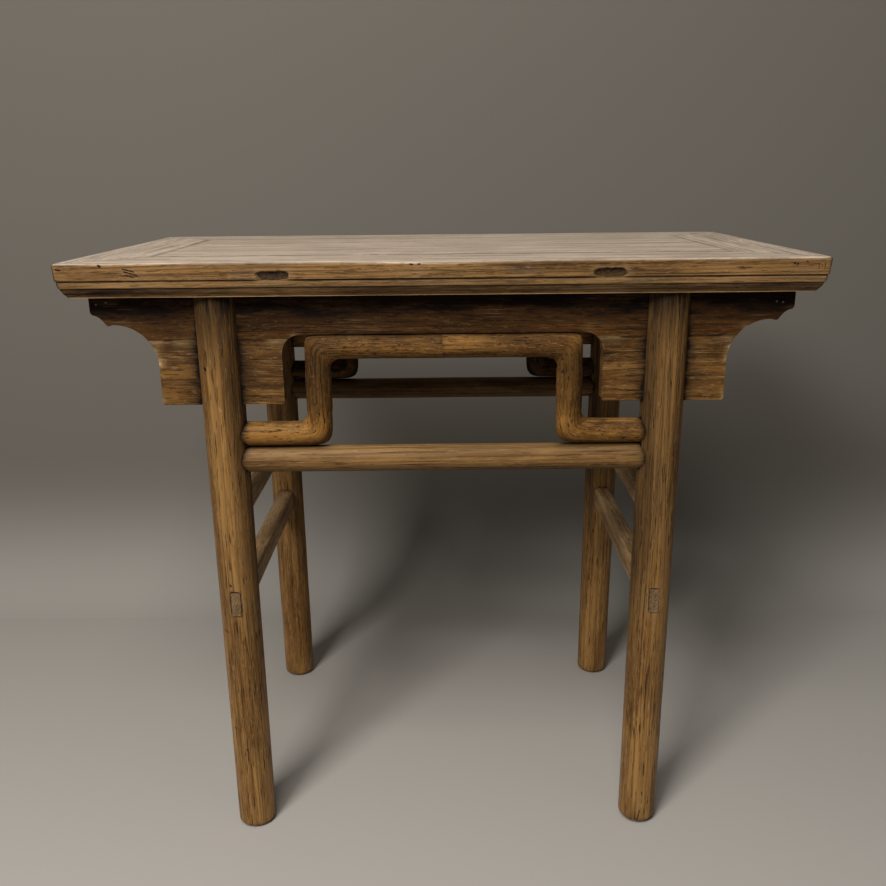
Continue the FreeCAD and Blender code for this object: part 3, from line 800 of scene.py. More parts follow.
moulding = [
    (0, 0, 4.5), (1.8, 21.4, 0.9), (4.4, 23.2, 0.5), (3.5, 24.7, 1.0), (4.9, 31.2, 2.2), (6.6, 32.4, 0.3),
    (6.6, 33.4, 0.4), (8.8, 38.2, 5), (13.0, 43.4, 0.5), (13.2, 44.6, 0.4),
]
top_drop = 1 * mm
quirk_drop = 23 * mm
bead_drops = (24 * mm, 26 * mm, 31 * mm, 32 * mm)
under_bead_drop = 32.7 * mm
chamfer_drops = (33 * mm, 35 * mm, 42.8 * mm, 43.4 * mm)
quirk_reach = 1.3 * mm
under_bead_reach = 0.9 * mm
mitre_reach = 1.2 * mm
darker_end_x = (-420 * mm, -250 * mm)


def frame_profile():
    """The section of a frame member: set in from its outer edge, and height."""
    width = half_depth - opening_y
    groove_in = width - groove_depth
    under_ease, groove_ease, top_ease = 1.5 * mm, 0.3 * mm, 1.0 * mm
    edge_depth, least_run = 5 * mm, 1 * mm
    fine_spacing, plain_spacing = 1.3 * mm, 6 * mm
    corners = [(inward * mm, table_top - drop * mm, ease * mm) for inward, drop, ease in moulding]
    corners += [(width, slab_under, under_ease), (width, groove_z[0], groove_ease)]
    corners += [(groove_in, groove_z[0], 0), (groove_in, groove_z[1], 0)]
    corners += [(width, groove_z[1], groove_ease), (width, table_top, top_ease)]

    def spacing(first, second):
        outside = max(first[0], second[0]) < edge_depth and abs(first[1] - second[1]) > least_run
        return fine_spacing if outside else plain_spacing

    return eased(corners, spacing)


def eased_corner(points, inward):
    """Points on the top frame moved in to the slab's rounded corners, by their set-in."""
    corner_round = 5 * mm
    least_round = 1.5 * mm
    rounding = np.maximum(corner_round - inward, least_round)
    beyond_x = np.abs(points[..., 0]) - (half_length - inward - rounding)
    beyond_y = np.abs(points[..., 1]) - (half_depth - inward - rounding)
    reach = np.hypot(beyond_x, beyond_y)
    outside = (beyond_x > 0) & (beyond_y > 0) & (reach > rounding)
    pull = np.where(outside, 1 - rounding / np.maximum(reach, 1e-9), 0)
    moved = points.copy()
    moved[..., 0] -= np.sign(points[..., 0]) * beyond_x * pull
    moved[..., 1] -= np.sign(points[..., 1]) * beyond_y * pull
    return moved


def frame_member(half_run, reach, stations, along_x, side):
    """Rings of a mitred member of the top frame, from one corner to the other."""
    profile = frame_profile()
    inward = profile[:, 0]
    straight = half_run - (half_depth - opening_y) - groove_depth
    ends = half_run - inward - mitre_gap
    rings = []
    for station in stations:
        over = max(abs(station) - straight, 0) / (half_run - straight)
        along = np.sign(station) * (min(abs(station), straight) + over * (ends - straight))
        across = side * (reach - inward)
        plan = (along, across) if along_x else (across, along)
        rings.append(np.stack([*plan, profile[:, 1]], axis=-1))
    return eased_corner(np.array(rings), inward)


def stations_between(low, high, spacing, fine=()):
    """Places along a piece, with closer ones between each pair of fine limits."""
    places = list(np.linspace(low, high, round((high - low) / spacing) + 1))
    for start, stop, step in fine:
        places = [place for place in places if not start < place < stop]
        places += list(np.linspace(start, stop, round((stop - start) / step) + 1))
    return np.array(sorted(set(np.round(places, 6))))


def pocket_share(x, z):
    """How far inside the ragged mouth of a batten's mortise a place on the edge is, from 0 to 1."""
    half_width = batten_width / 2 - 1.6 * mm
    half_height = 5.2 * mm
    raggedness = 9 * mm
    wide = (np.abs(x) - batten_x) / half_width
    tall = (z - pocket_middle_z) / half_height
    places = np.stack([x, x * 0, z], axis=-1).reshape(-1, 3)
    worn = ripple(places, raggedness, 5).reshape(x.shape) * 0.12
    outside = (np.abs(wide) ** 4 + np.abs(tall) ** 2.6) ** 0.3 - 1 + worn
    return np.clip(0.5 - outside / 0.28, 0, 1)


def sink_pocket(rings, side):
    """The ragged through mortises of the battens, sunk into a long rail's moulded edge."""
    edge = side * half_depth
    floor = edge - side * pocket_depth
    edge_depth = 8 * mm
    share = pocket_share(rings[..., 0], rings[..., 2])
    face = np.abs(rings[..., 1] - edge) < edge_depth
    rings[..., 1] = np.where(face, rings[..., 1] * (1 - share) + floor * share, rings[..., 1])
    return rings


def settled(rings):
    """The front rail's upper arris, worn hollow near the middle by use."""
    depth, middle_x, half_reach = 2.2 * mm, -5 * mm, 80 * mm
    width, height = 60 * mm, 16 * mm
    hollow = depth * np.exp(-((rings[..., 0] - middle_x) / half_reach) ** 2)
    near_edge = np.clip(1 - (rings[..., 1] + half_depth) / width, 0, 1)
    near_top = np.clip(1 - (table_top - rings[..., 2]) / height, 0, 1)
    rings[..., 2] -= hollow * near_edge * near_top
    return rings


def beside_pocket(points):
    """How near a place on the slab's edge is to the mouth of a batten's mortise, from 0 to 1."""
    half_width = batten_width / 2 - 4 * mm
    half_height = 5 * mm
    reach_aside, reach_above = 9 * mm, 5 * mm
    aside = np.maximum(np.abs(np.abs(points[:, 0]) - batten_x) - half_width, 0)
    above = np.maximum(np.abs(points[:, 2] - pocket_middle_z) - half_height, 0)
    return np.exp(-((aside / reach_aside) ** 2 + (above / reach_above) ** 2))


def moulding_dirt_and_shade(points, near):
    """Dirt in the mitres and batten pockets of the slab's edge and a dark line in the quirk, with painted
    shade under the bead and over the downward-facing chamfer.
    """
    drop = table_top - points[:, 2]
    joints = np.where(drop < top_drop, near * 0.5, near)
    from_mitre = half_length - np.abs(points[:, 0]) - half_depth + np.abs(points[:, 1])
    mitre = np.clip(1 - np.abs(from_mitre) / mitre_reach, 0, 1) * 0.8
    quirk = np.exp(-((drop - quirk_drop) / quirk_reach) ** 2) * (0.95 - 0.7 * beside_pocket(points))
    # Painted shade: a dark line under the bead, which overhangs it
    under_bead = np.exp(-((drop - under_bead_drop) / under_bead_reach) ** 2) * 1.2
    # Painted shade over the chamfer, which faces down, darker towards the left end
    chamfer = np.interp(drop, chamfer_drops, [0, 1, 1, 0])
    chamfer *= 0.6 + np.interp(points[:, 0], darker_end_x, [0.3, 0])
    on_edge = np.abs(points[:, 1]) > half_depth - 9 * mm
    pocket = pocket_share(points[:, 0], points[:, 2]) * on_edge * 0.8
    return np.maximum.reduce([joints, mitre, quirk, under_bead, chamfer, pocket])


def moulding_wear_and_highlight(points, convex):
    """Pale wear of the slab's arrises, of its bead and round the mouths of the mortises; the pale line on
    the lowest arris is a painted highlight as well as wear.
    """
    drop = table_top - points[:, 2]
    places = [0, 6 * mm, 14 * mm, 24 * mm, 27 * mm, 32 * mm, 40 * mm, 42 * mm]
    # The pale line on the lowest arris is a painted highlight as well as wear
    wear = np.interp(drop, places, [0.35, 0.5, 0.2, 0.4, 1.2, 0.2, 0.2, 1.3])
    rim = beside_pocket(points) * (1 - pocket_share(points[:, 0], points[:, 2])) * 0.5
    bead = np.interp(drop, bead_drops, [0, 0.3, 0.3, 0])
    return np.maximum.reduce([convex * wear, rim, bead])


def make_top_rails():
    around_batten = 26 * mm
    fine_step, long_step, end_step = 0.8 * mm, 3.2 * mm, 3.4 * mm
    fine = [(x - around_batten, x + around_batten, fine_step) for x in (-batten_x, batten_x)]
    long_stations = stations_between(-half_length, half_length, long_step, fine)
    end_stations = stations_between(-half_depth, half_depth, end_step)
    for name, side in (("front_top_rail", -1), ("back_top_rail", 1)):
        rings = sink_pocket(frame_member(half_length, half_depth, long_stations, True, side), side)
        if side < 0:
            rings = settled(rings)
        finished(name + "_piece", swept(name, rings), "x", slab_elm, "weathered_elm", [name],
                 beside=["left_batten", "right_batten"], soiled_and_shaded=moulding_dirt_and_shade, worn_and_highlit=moulding_wear_and_highlight,
                 **worked("long rail", side))
    for name, side in (("left_top_rail", -1), ("right_top_rail", 1)):
        rings = frame_member(half_depth, half_length, end_stations, False, side)
        finished(name + "_piece", swept(name, rings), "y", slab_elm, "weathered_elm", [name],
                 soiled_and_shaded=moulding_dirt_and_shade, worn_and_highlit=moulding_wear_and_highlight, **worked("end rail", side))


def make_panel():
    """The panel, a board that fills the frame's opening, on a thinner one whose edges are its tongue."""
    play = 0.2 * mm
    top_arris, top_spacing = 0.9 * mm, 7 * mm
    tongue_arris, tongue_spacing = 0.3 * mm, 40 * mm
    face = (opening_x - panel_gap, opening_y - panel_gap)
    low = (-face[0], -face[1], panel_box[0].z)
    high = (face[0], face[1], table_top)
    top = box_board("top_panel_piece", low, high, top_arris, top_spacing)
    tongue_low = (panel_box[0].x, panel_box[0].y, panel_box[0].z + play)
    tongue_high = (panel_box[1].x, panel_box[1].y, groove_z[1] - play)
    tongue = box_board("tongue", tongue_low, tongue_high, tongue_arris, tongue_spacing)
    mesh = joined("top_panel_piece", [top, tongue])
    finished("top_panel_piece", mesh, "x", slab_elm, "weathered_elm", ["top_panel"],
             soiled_and_shaded=lambda points, near: near * 0.5, worn_and_highlit=lambda points, convex: convex * 0.4,
             **worked("panel"))


def make_battens():
    """The battens under the panel, with tenons that show in the long rails' edges."""
    play = 0.2 * mm
    shoulder = 2 * mm
    body_arris, body_spacing = 1.2 * mm, 8 * mm
    tenon_arris, tenon_spacing = 0.8 * mm, 4 * mm
    tenon_z = (pocket_middle_z - 4.6 * mm, pocket_middle_z + 4.2 * mm)
    for name in ("left_batten", "right_batten"):
        low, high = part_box(name)
        body_low = (low.x, -opening_y + play, low.z)
        body_high = (high.x, opening_y - play, panel_box[0].z - play / 2)
        body = box_board("body", body_low, body_high, body_arris, body_spacing)
        tenon_low = (low.x + shoulder, low.y, tenon_z[0])
        tenon_high = (high.x - shoulder, high.y, tenon_z[1])
        tenon = box_board("tenon", tenon_low, tenon_high, tenon_arris, tenon_spacing)
        finished(name + "_piece", joined(name + "_piece", [body, tenon]), "y", batten_elm, "dark_elm",
                 [name], **worked("batten"))


# Legs

def leg_axis(heights):
    """Where the back right leg's axis is at each height."""
    share = (np.asarray(heights) / slab_under)[..., None]
    return leg_foot + (leg_head - leg_foot) * share


def leg_face_x(y, z):
    """The x of the leg's surface that faces the middle of the table."""
    axis = leg_axis(z)
    return axis[..., 0] - np.sqrt((leg_radius + cope_gap) ** 2 - (y - axis[..., 1]) ** 2)


def leg_face_y(x, z):
    """The y of the leg's surface that faces the other end of its side rails."""
    axis = leg_axis(z)
    return axis[..., 1] - np.sqrt((leg_radius + cope_gap) ** 2 - (x - axis[..., 0]) ** 2)


lower_rail_z = (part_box("right_lower_rail")[0].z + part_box("right_lower_rail")[1].z) / 2


def ragged(height, phase):
    """How far the side of a hand-cut mouth wanders at a height."""
    coarse = 0.5 * mm * math.sin(height * 700 + phase)
    fine = 0.4 * mm * math.sin(height * 1900)
    return coarse + fine


def outside_tenon(aside, above):
    """How far outside a side rail's through tenon a place is, from -1 in its middle."""
    across = np.abs(aside) / (rail_tenon[0] / 2)
    upward = np.abs(above) / (rail_tenon[1] / 2)
    return (across ** 4 + upward ** 8) ** 0.2 - 1


def leg_heights(rounding):
    """Heights of a leg's rings: close in the foot's easing and beside the tenon."""
    beside_tenon = rail_tenon[1] / 2 + 3 * mm
    fine_step, plain_step = 1.3 * mm, 6 * mm
    tenon = (lower_rail_z - beside_tenon, lower_rail_z + beside_tenon, fine_step)
    foot = rounding * (1 - np.cos(np.linspace(0, math.pi / 2, 9)[:-1]))
    return np.concatenate([foot, stations_between(rounding, slab_under, plain_step, [tenon])])


def leg_angles():
    """Angles of a leg's points, closer together over the tenon's mouth."""
    outward = math.pi / 2
    half_turn = math.asin(rail_tenon[0] / 2 / leg_radius) * 1.5
    angles = np.linspace(0, 2 * math.pi, 64, endpoint=False)
    angles = angles[np.abs(angles - outward) >= half_turn]
    return np.array(sorted(np.concatenate([angles, outward + np.linspace(-half_turn, half_turn, 21)])))


def leg_rings(heights, angles, rounding, phase):
    """Rings of a leg planed round from the square, with the mouth of its tenon sunk in."""
    sole_shares = (0.94, 0.6, 0.3)
    near_tenon = rail_tenon[1] / 2 + 4 * mm
    sunk = rail_tenon_recess + 1.5 * mm
    rings = []
    for height in heights:
        axis = leg_axis(height)
        twist = phase + 0.12 * math.sin(height * 9 + phase)
        in_flat = np.mod(angles + twist, 2 * math.pi / leg_flats) - math.pi / leg_flats
        planed = math.cos(math.pi / leg_flats) / np.cos(in_flat)
        tapered = leg_radius * (leg_foot_share + leg_taper_share * height / slab_under)
        radius = tapered * (1 - flatness + flatness * planed)
        if height < rounding:
            radius -= rounding - math.sqrt(rounding ** 2 - (rounding - height) ** 2)
        x = axis[0] + radius * np.cos(angles)
        y = axis[1] + radius * np.sin(angles)
        above = height - lower_rail_z
        if abs(above) < near_tenon:
            outside = outside_tenon(np.abs(x - axis[0]) - ragged(height, phase), above)
            share = np.clip(0.5 - outside / 0.22, 0, 1)
            floor = axis[1] + leg_radius - sunk
            y = np.where(y > axis[1], np.minimum(y, y * (1 - share) + floor * share), y)
        rings.append(np.stack([x, y, np.full_like(x, height)], axis=-1))
    foot = leg_axis(0)
    sole = rings[0]
    return [foot + (sole - foot) * share for share in sole_shares[::-1]] + rings


def make_leg(name, side_x, side_y, seed, rounding):
    """A leg, its foot eased by a rounding and its head under the slab."""
    rng = np.random.default_rng(seed)
    phase = rng.uniform(0, 2 * math.pi)
    rings = leg_rings(leg_heights(rounding), leg_angles(), rounding, phase)
    mesh = mirrored(swept(name, np.array(rings)), side_x, side_y)
    # Painted shade: the side of each leg that faces the middle of the table is painted darker, and the back
    # legs, under the slab, darker overall and further down
    inner_shade, overall, mouth_grime = (0.5, 0.1, 1) if side_x < 0 else (0.3, 0.35, 0.3)
    overall += 0 if side_y < 0 else 0.1
    head_depth = 130 * mm if side_y < 0 else 300 * mm
    foot_depth = 12 * mm
    up_the_leg_z = (150 * mm, 450 * mm)
    tenon_reach = 26 * mm

    def soiled_and_shaded(points, near):
        x, y, z = points.T
        axis = leg_axis(z)
        outward = (x * side_x - axis[:, 0]) / leg_radius
        # Darker towards the slab: dirt and painted shade under it
        head = np.clip((z - slab_under) / head_depth + 1, 0, 1) * 0.9
        foot = np.clip(1 - z / foot_depth, 0, 1) * 0.5
        # Darker from 150 mm up the leg, by the overall darkening and by the painted shade of the inner side
        up_the_leg = np.interp(z, up_the_leg_z, [0, 1])
        inner = np.clip(-outward * 3 - 0.7, 0, 1) * inner_shade
        outside = outside_tenon(outward * leg_radius, z - lower_rail_z)
        mouth = np.exp(-(outside / 0.2) ** 2) * (side_y * y > axis[:, 1]) * mouth_grime
        worked_in = np.where(np.abs(z - lower_rail_z) < tenon_reach, near ** 2.5, near)
        return np.maximum.reduce([worked_in, head, foot, up_the_leg * (overall + inner), mouth])

    working = worked("leg")
    working["pith"] = (rng.uniform(*pith_beside_leg), rng.uniform(-pith_before_leg, pith_before_leg))
    finished(name, mesh, "z", leg_elm, "waxed_elm", [name.replace("_piece", "")], soiled_and_shaded=soiled_and_shaded, **working)


# Stretchers

def round_ring(centre, outward, across, half_width, half_height, angles):
    """A ring of points about a centre, in the plane of two directions."""
    cosine = np.cos(angles)[:, None] * half_width
    sine = np.sin(angles)[:, None] * half_height
    return centre + cosine * outward + sine * across


def top_light(mesh):
    """Where the top of a round member is painted pale, from 0 to 1: a painted highlight as well as wear."""
    return np.clip(normals_of(mesh)[:, 2] * 1.6 - 0.6, 0, 1)


def shaded_undersides(mesh):
    """Painted shade on the underside of a round member, from 0 to about half."""
    return np.clip(-normals_of(mesh)[:, 2] * 1.2, 0, 1) * 0.55


def shade_on_back_members(mesh, side_y):
    """The side of a back member that faces the front, painted darker: painted shade under the slab, and the
    dark finish that has stayed there.
    """
    facing_front = np.clip(0.5 - normals_of(mesh)[:, 1] * 1.5, 0, 1)
    return facing_front if side_y > 0 else facing_front * 0


ring_angles = np.linspace(0, 2 * math.pi, 44, endpoint=False)
stretcher_step_share = 0.02
rail_step_share = 0.03
foot_step_share = 0.08
right = np.array([1.0, 0, 0])
back = np.array([0, 1.0, 0])
up = np.array([0, 0, 1.0])


def make_stretcher(name, side):
    """A straight round stretcher, its ends coped over the legs."""
    low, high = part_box("back_stretcher")
    radius = (high.z - low.z) / 2
    centre = np.array([0, (low.y + high.y) / 2, (low.z + high.z) / 2])
    ring = round_ring(centre, back, up, radius, radius, ring_angles)
    reach = leg_face_x(ring[:, 1], ring[:, 2])
    rings = []
    for share in stations_between(-1, 1, stretcher_step_share):
        section = ring.copy()
        section[:, 0] = reach * share
        rings.append(section)
    mesh = mirrored(swept(name, np.array(rings)), 1, side)

    def soiled_and_shaded(points, near):
        # Dirt near the legs, painted shade underneath, and on the back stretcher painted shade on the side
        # that faces the front
        return np.maximum.reduce([near, shaded_undersides(mesh), shade_on_back_members(mesh, side) * 0.65])

    # The top is painted pale, a painted highlight as well as wear
    finished(name, mesh, "x", stretcher_elm, "waxed_elm", [name.replace("_piece", "")], soiled_and_shaded=soiled_and_shaded,
             worn_and_highlit=lambda points, convex: top_light(mesh) * 0.35, **worked("stretcher"))


def bend(pivot, first, second, squareness, steps):
    """Rings round a carved corner, its outer line nearly square and its inner line round."""
    side = humpback_inner_round + humpback_radius * 2
    rings = []
    for share in np.linspace(0, 1, steps + 1):
        angle = share * math.pi / 2
        outward = first * math.cos(angle) + second * math.sin(angle)
        spread_out = math.cos(angle) ** squareness + math.sin(angle) ** squareness
        outer = side / spread_out ** (1 / squareness)
        half_width = max((outer - humpback_inner_round) / 2, humpback_radius)
        centre = pivot + outward * (humpback_inner_round + half_width)
        rings.append(round_ring(centre, outward, back, half_width, humpback_radius, ring_angles))
    return rings


def along_path(rings):
    """Where the points of a bent member would lie if it were straight."""
    centres = rings.mean(1)
    headings = np.gradient(centres, axis=0)
    headings /= np.linalg.norm(headings, axis=1)[:, None]
    upward = np.cross(headings, back)
    run = np.concatenate([[0], np.cumsum(np.linalg.norm(np.diff(centres, axis=0), axis=1))])
    outward = rings - centres[:, None]
    rise = (outward * upward[:, None]).sum(-1)
    length = run[:, None] + (outward * headings[:, None]).sum(-1)
    return np.stack([length, rings[..., 1], rise], axis=-1).reshape(-1, 3)


def humpback_rings(y, top_z, low_z, upright_x):
    """Rings of half a humpback, with the centres of its shoulder and heel bends."""
    turn = humpback_inner_round + humpback_radius
    step, past_bend = 5 * mm, 4 * mm
    bend_steps = 12
    upright_share = 1.04
    shoulder = np.array([upright_x - turn, y, top_z - turn])
    heel = np.array([upright_x + turn, y, low_z + turn])
    start = np.array([humpback_gap, y, top_z])
    rings = []
    for x in stations_between(0, shoulder[0] - past_bend, step):
        rings.append(round_ring(start + right * x, up, back, humpback_radius, humpback_radius, ring_angles))
    rings += bend(shoulder, up, right, shoulder_squareness, bend_steps)
    for z in stations_between(heel[2] + past_bend, shoulder[2] - past_bend, step)[::-1]:
        centre = np.array([upright_x, y, z])
        half_width = humpback_radius * upright_share
        rings.append(round_ring(centre, right, back, half_width, humpback_radius, ring_angles))
    first_point = 1 - len(ring_angles) // 2
    lower = bend(heel, -right, -up, heel_squareness, bend_steps)
    rings += [np.roll(ring[::-1], first_point, axis=0) for ring in lower]
    last = rings[-1]
    reach = leg_face_x(last[:, 1], last[:, 2])
    for share in stations_between(0, 1, foot_step_share)[1:]:
        section = last.copy()
        section[:, 0] = last[:, 0] * (1 - share) + reach * share
        rings.append(section)
    return np.array(rings), shoulder, heel


def make_humpback(name, side_x, side_y, lean):
    """Half a humpback stretcher, from the middle joint to the leg, its upright out by a lean."""
    low, high = humpback_box
    top_z = high.z - humpback_radius
    upright_x = humpback_upright_x + lean
    rings, shoulder, heel = humpback_rings((low.y + high.y) / 2, top_z, low.z + humpback_radius, upright_x)
    mesh = mirrored(swept(name, rings), side_x, side_y)
    own_node = name.replace("_piece", "")
    twin = own_node.replace("left", "right") if side_x < 0 else own_node.replace("right", "left")
    joint_dirt_reach = 1.2 * mm
    plain_at_joint, pale_beside_joint = 2 * mm, 5 * mm
    crotch_width, crotch_height, crotch_limit = 15 * mm, 13 * mm, 40 * mm
    heel_half = 12 * mm
    heights = [heel[2] - heel_half, heel[2] + heel_half, shoulder[2], top_z - humpback_radius / 2, top_z]

    # The tops are painted pale, a painted highlight as well as wear, but not at the middle joint
    def worn_and_highlit(points, convex):
        from_joint = np.abs(points[:, 0])
        return top_light(mesh) * np.interp(from_joint, [plain_at_joint, pale_beside_joint], [0, 0.22])

    def soiled_and_shaded(points, near):
        x, y, z = points.T
        joint = np.clip(1 - np.abs(x) / joint_dirt_reach, 0, 1) * 0.5
        inward = np.minimum(np.abs(np.abs(x) - shoulder[0]), crotch_limit)
        crotch = np.exp(-((inward / crotch_width) ** 2 + ((z - shoulder[2]) / crotch_height) ** 2)) * 0.7
        # The uprights and the top bar are painted darker than the low bars
        aloft = np.interp(z, heights, [0, 0.6, 0.6, 0.5, 0.2])
        # Painted shade on the side of the back humpbacks that faces the front, and on the underside
        back_member_shade = shade_on_back_members(mesh, side_y) * 0.85
        return np.maximum.reduce([near, joint, crotch, aloft, shaded_undersides(mesh), back_member_shade])

    finished(name, mesh, "x", humpback_elm, "waxed_elm", [own_node], beside=[twin],
             straightened=along_path(rings), soiled_and_shaded=soiled_and_shaded, worn_and_highlit=worn_and_highlit, **worked("humpback"))


def through_tenon(x, z):
    """The tenon of a lower side rail, through the legs and a little short of their faces."""
    half_x = rail_tenon[0] / 2 - tenon_clearance
    half_z = rail_tenon[1] / 2 - tenon_clearance
    past_mouth = 0.8 * mm
    arris, spacing = 0.8 * mm, 2 * mm
    end = leg_axis(z)[1] + leg_radius - rail_tenon_recess + past_mouth
    low = (x - half_x, -end, z - half_z)
    high = (x + half_x, end, z + half_z)
    return box_board("tenon", low, high, arris, spacing)


def make_side_rail(name, node_name, side, through):
    """A soft-cornered rail between the legs of an end, coped over both."""
    low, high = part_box(node_name)
    x_low, x_high = sorted((abs(low.x), abs(high.x)))
    plan = [(x_low, low.z), (x_high, low.z), (x_high, high.z), (x_low, high.z)]
    spacing = 3 * mm
    profile = eased([(*corner, rail_round) for corner in plan], lambda first, second: spacing)
    reach = leg_face_y(profile[:, 0], profile[:, 1])
    rings = []
    for share in stations_between(-1, 1, rail_step_share):
        rings.append(np.stack([profile[:, 0], reach * share, profile[:, 1]], axis=-1))
    parts = [swept(name, np.array(rings))]
    if through:
        parts.append(through_tenon((x_low + x_high) / 2, (low.z + high.z) / 2))
    mesh = mirrored(joined(name, parts), side, 1)
    past_shoulder = leg_axis(high.z)[1] + leg_radius / 2
    chisel_depth = 0.9 if side < 0 else 0.3

    def soiled_and_shaded(points, near):
        x, y, z = points.T
        chisel_marks = np.clip(np.sin(z * 760 + x * 300) * 1.5, 0, 1) * chisel_depth
        return np.where(np.abs(y) > past_shoulder, np.maximum(near ** 3, chisel_marks), near)

    finished(name, mesh, "y", side_rail_elm, "waxed_elm", [node_name], soiled_and_shaded=soiled_and_shaded, **worked("side rail"))


# Aprons and spandrels

def cloud_outline():
    """The right half of an apron with its spandrel, from the middle of its top edge."""
    top = slab_under
    tip_x = apron_box[1].x
    inner_x, outer_x = spandrel_x
    low = spandrel_box[0].z
    under_tip = top - tip_drop - tip_round
    cove_x = tip_x - tip_round
    nib = (cove_x - cove_width - nib_width, under_tip - cove_fall - nib_fall)
    wing_z = nib[1] + nib_lip
    outer_round, inner_round = spandrel_corners
    points = [(0, top), (tip_x, top)]
    points += arc((cove_x, top - tip_drop), tip_round, 0, -90, 6)
    for share in (0.25, 0.5, 0.75, 1):
        hollow = 4 * share * (1 - share) * cove_hollow
        x = cove_x - cove_width * share - hollow * cove_normal[0]
        points.append((x, under_tip - cove_fall * share + hollow * cove_normal[1]))
    points.append((nib[0] + nib_ease[0], nib[1] + nib_ease[1]))
    points.append((nib[0] - nib_ease[0], nib[1] + nib_ease[2]))
    points += arc((outer_x + wing_radius, wing_z - wing_radius), wing_radius, 90, 180, 18)
    points += arc((outer_x - outer_round, low + outer_round), outer_round, 0, -90, 5)
    points += arc((inner_x + inner_round, low + inner_round), inner_round, -90, -180, 5)
    points += arc((inner_x - arch_radius, top - apron_depth - arch_radius), arch_radius, 0, 90, 10)
    points.append((0, top - apron_depth))
    return points


def clipped(outline, height, above):
    """The part of an outline above or below a height."""
    kept = []
    sign = 1 if above else -1
    for i, point in enumerate(outline):
        following = outline[(i + 1) % len(outline)]
        here = sign * (point[1] - height)
        there = sign * (following[1] - height)
        if here >= 0:
            kept.append(point)
        if here * there < 0:
            share = here / (here - there)
            kept.append((point[0] + (following[0] - point[0]) * share, height))
    return kept


def without_doubles(outline):
    """An outline without points that fall together."""
    apart = 0.2 * mm
    kept = []
    for point in outline:
        if not kept or math.dist(kept[-1], point) > apart:
            kept.append(point)
    if math.dist(kept[0], kept[-1]) < apart:
        kept.pop()
    return kept


def shadowed(points, near):
    """Painted shade under the slab's overhang, darkest at the top of the board, with the dark finish that
    has stayed there, where no hand has worn it.
    """
    drops = [0, 22 * mm, 45 * mm, 58 * mm]
    # Painted shade, darkest just under the slab and fading down the board
    under_slab = np.interp(slab_under - points[:, 2], drops, [0.97, 0.85, 0.4, 0.3])
    return np.maximum(near, under_slab)


def seam_dirt(points, near):
    """Dirt in the seam of a spandrel and its apron, and a darkening for a short way below it."""
    seam_reach, shade_reach = 1 * mm, 50 * mm
    drop = seam_z - points[:, 2]
    seam = np.clip(1 - np.abs(drop) / seam_reach, 0, 1) * 0.9
    below_seam = np.clip(1 - drop / shade_reach, 0, 1) * 0.25
    return np.maximum.reduce([near, seam, below_seam])


def make_boards():
    """The long aprons with their spandrels, and the end aprons."""
    half = cloud_outline()
    whole = half + [(-x, z) for x, z in half[::-1]]
    thickness = board_y[1] - board_y[0]
    apron_arris, spandrel_arris, end_arris = 1.1 * mm, 1.3 * mm, 1.2 * mm
    spacing, end_spacing = 6 * mm, 7 * mm
    apron_outline = without_doubles(clipped(whole, seam_z, True))
    spandrel_outline = without_doubles(clipped(half, seam_z, False))
    for end, side_y in (("front", -1), ("back", 1)):
        apron = end + "_apron"
        spandrels = [end + "_left_spandrel", end + "_right_spandrel"]
        mesh = board(apron, apron_outline, "xz", board_y[0], thickness, apron_arris, spacing)
        finished(apron + "_piece", mirrored(mesh, 1, side_y), "x", apron_elm, "dark_elm", [apron],
                 beside=spandrels, soiled_and_shaded=shadowed, **worked("apron", side_y))
        for name, side_x in zip(spandrels, (-1, 1)):
            mesh = board(name, spandrel_outline, "xz", board_y[0], thickness, spandrel_arris, spacing)
            finished(name + "_piece", mirrored(mesh, side_x, side_y), "x", spandrel_elm, "dark_elm", [name],
                     beside=[apron], soiled_and_shaded=seam_dirt, **worked("spandrel", side_y))
    for name in ("left_end_apron", "right_end_apron"):
        low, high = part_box(name)
        inner = board_y[0]
        mesh = box_board(name, (low.x, -inner, low.z), (high.x, inner, high.z), end_arris, end_spacing)
        finished(name + "_piece", mesh, "y", apron_elm, "dark_elm", [name], soiled_and_shaded=shadowed,
                 **worked("end apron"))


def make_nails():
    """Small nail heads that hold the apron's tips to the end aprons."""
    radius = 1.5 * mm
    height_share = 0.45
    sunk = 0.1 * mm
    places = [(-450.9, 794.1), (-437.7, 796.7), (436.1, 789.9), (444.4, 788.8)]
    for number, (x, z) in enumerate(places, 1):
        bm = bmesh.new()
        bmesh.ops.create_uvsphere(bm, u_segments=14, v_segments=8, radius=radius)
        bmesh.ops.scale(bm, vec=(1, height_share, 1), verts=bm.verts[:])
        mesh = bpy.data.meshes.new("nail_head")
        bm.to_mesh(mesh)
        bm.free()
        mesh.shade_smooth()
        mesh.materials.append(nail_iron)
        nail = bpy.data.objects.new("nail_head_" + str(number), mesh)
        bpy.context.scene.collection.objects.link(nail)
        nail.location = (x * mm, -board_y[1] - sunk, z * mm)
        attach(nail, "root")


make_top_rails()
make_panel()
make_battens()
quarters = [
    ("front_left", -1, -1, -1.8 * mm, foot_round),
    ("front_right", 1, -1, 1.3 * mm, worn_foot_round),
    ("back_left", -1, 1, 0.8 * mm, foot_round),
    ("back_right", 1, 1, -0.6 * mm, foot_round),
]
for number, (quarter, side_x, side_y, lean, rounding) in enumerate(quarters):
    make_leg(quarter + "_leg_piece", side_x, side_y, 11 + number, rounding)
    make_humpback(quarter + "_humpback_piece", side_x, side_y, lean)
make_stretcher("front_stretcher_piece", -1)
make_stretcher("back_stretcher_piece", 1)
for end, side in (("left", -1), ("right", 1)):
    make_side_rail(end + "_upper_rail_piece", end + "_upper_rail", side, False)
    make_side_rail(end + "_lower_rail_piece", end + "_lower_rail", side, True)
make_boards()
make_nails()


# Studio

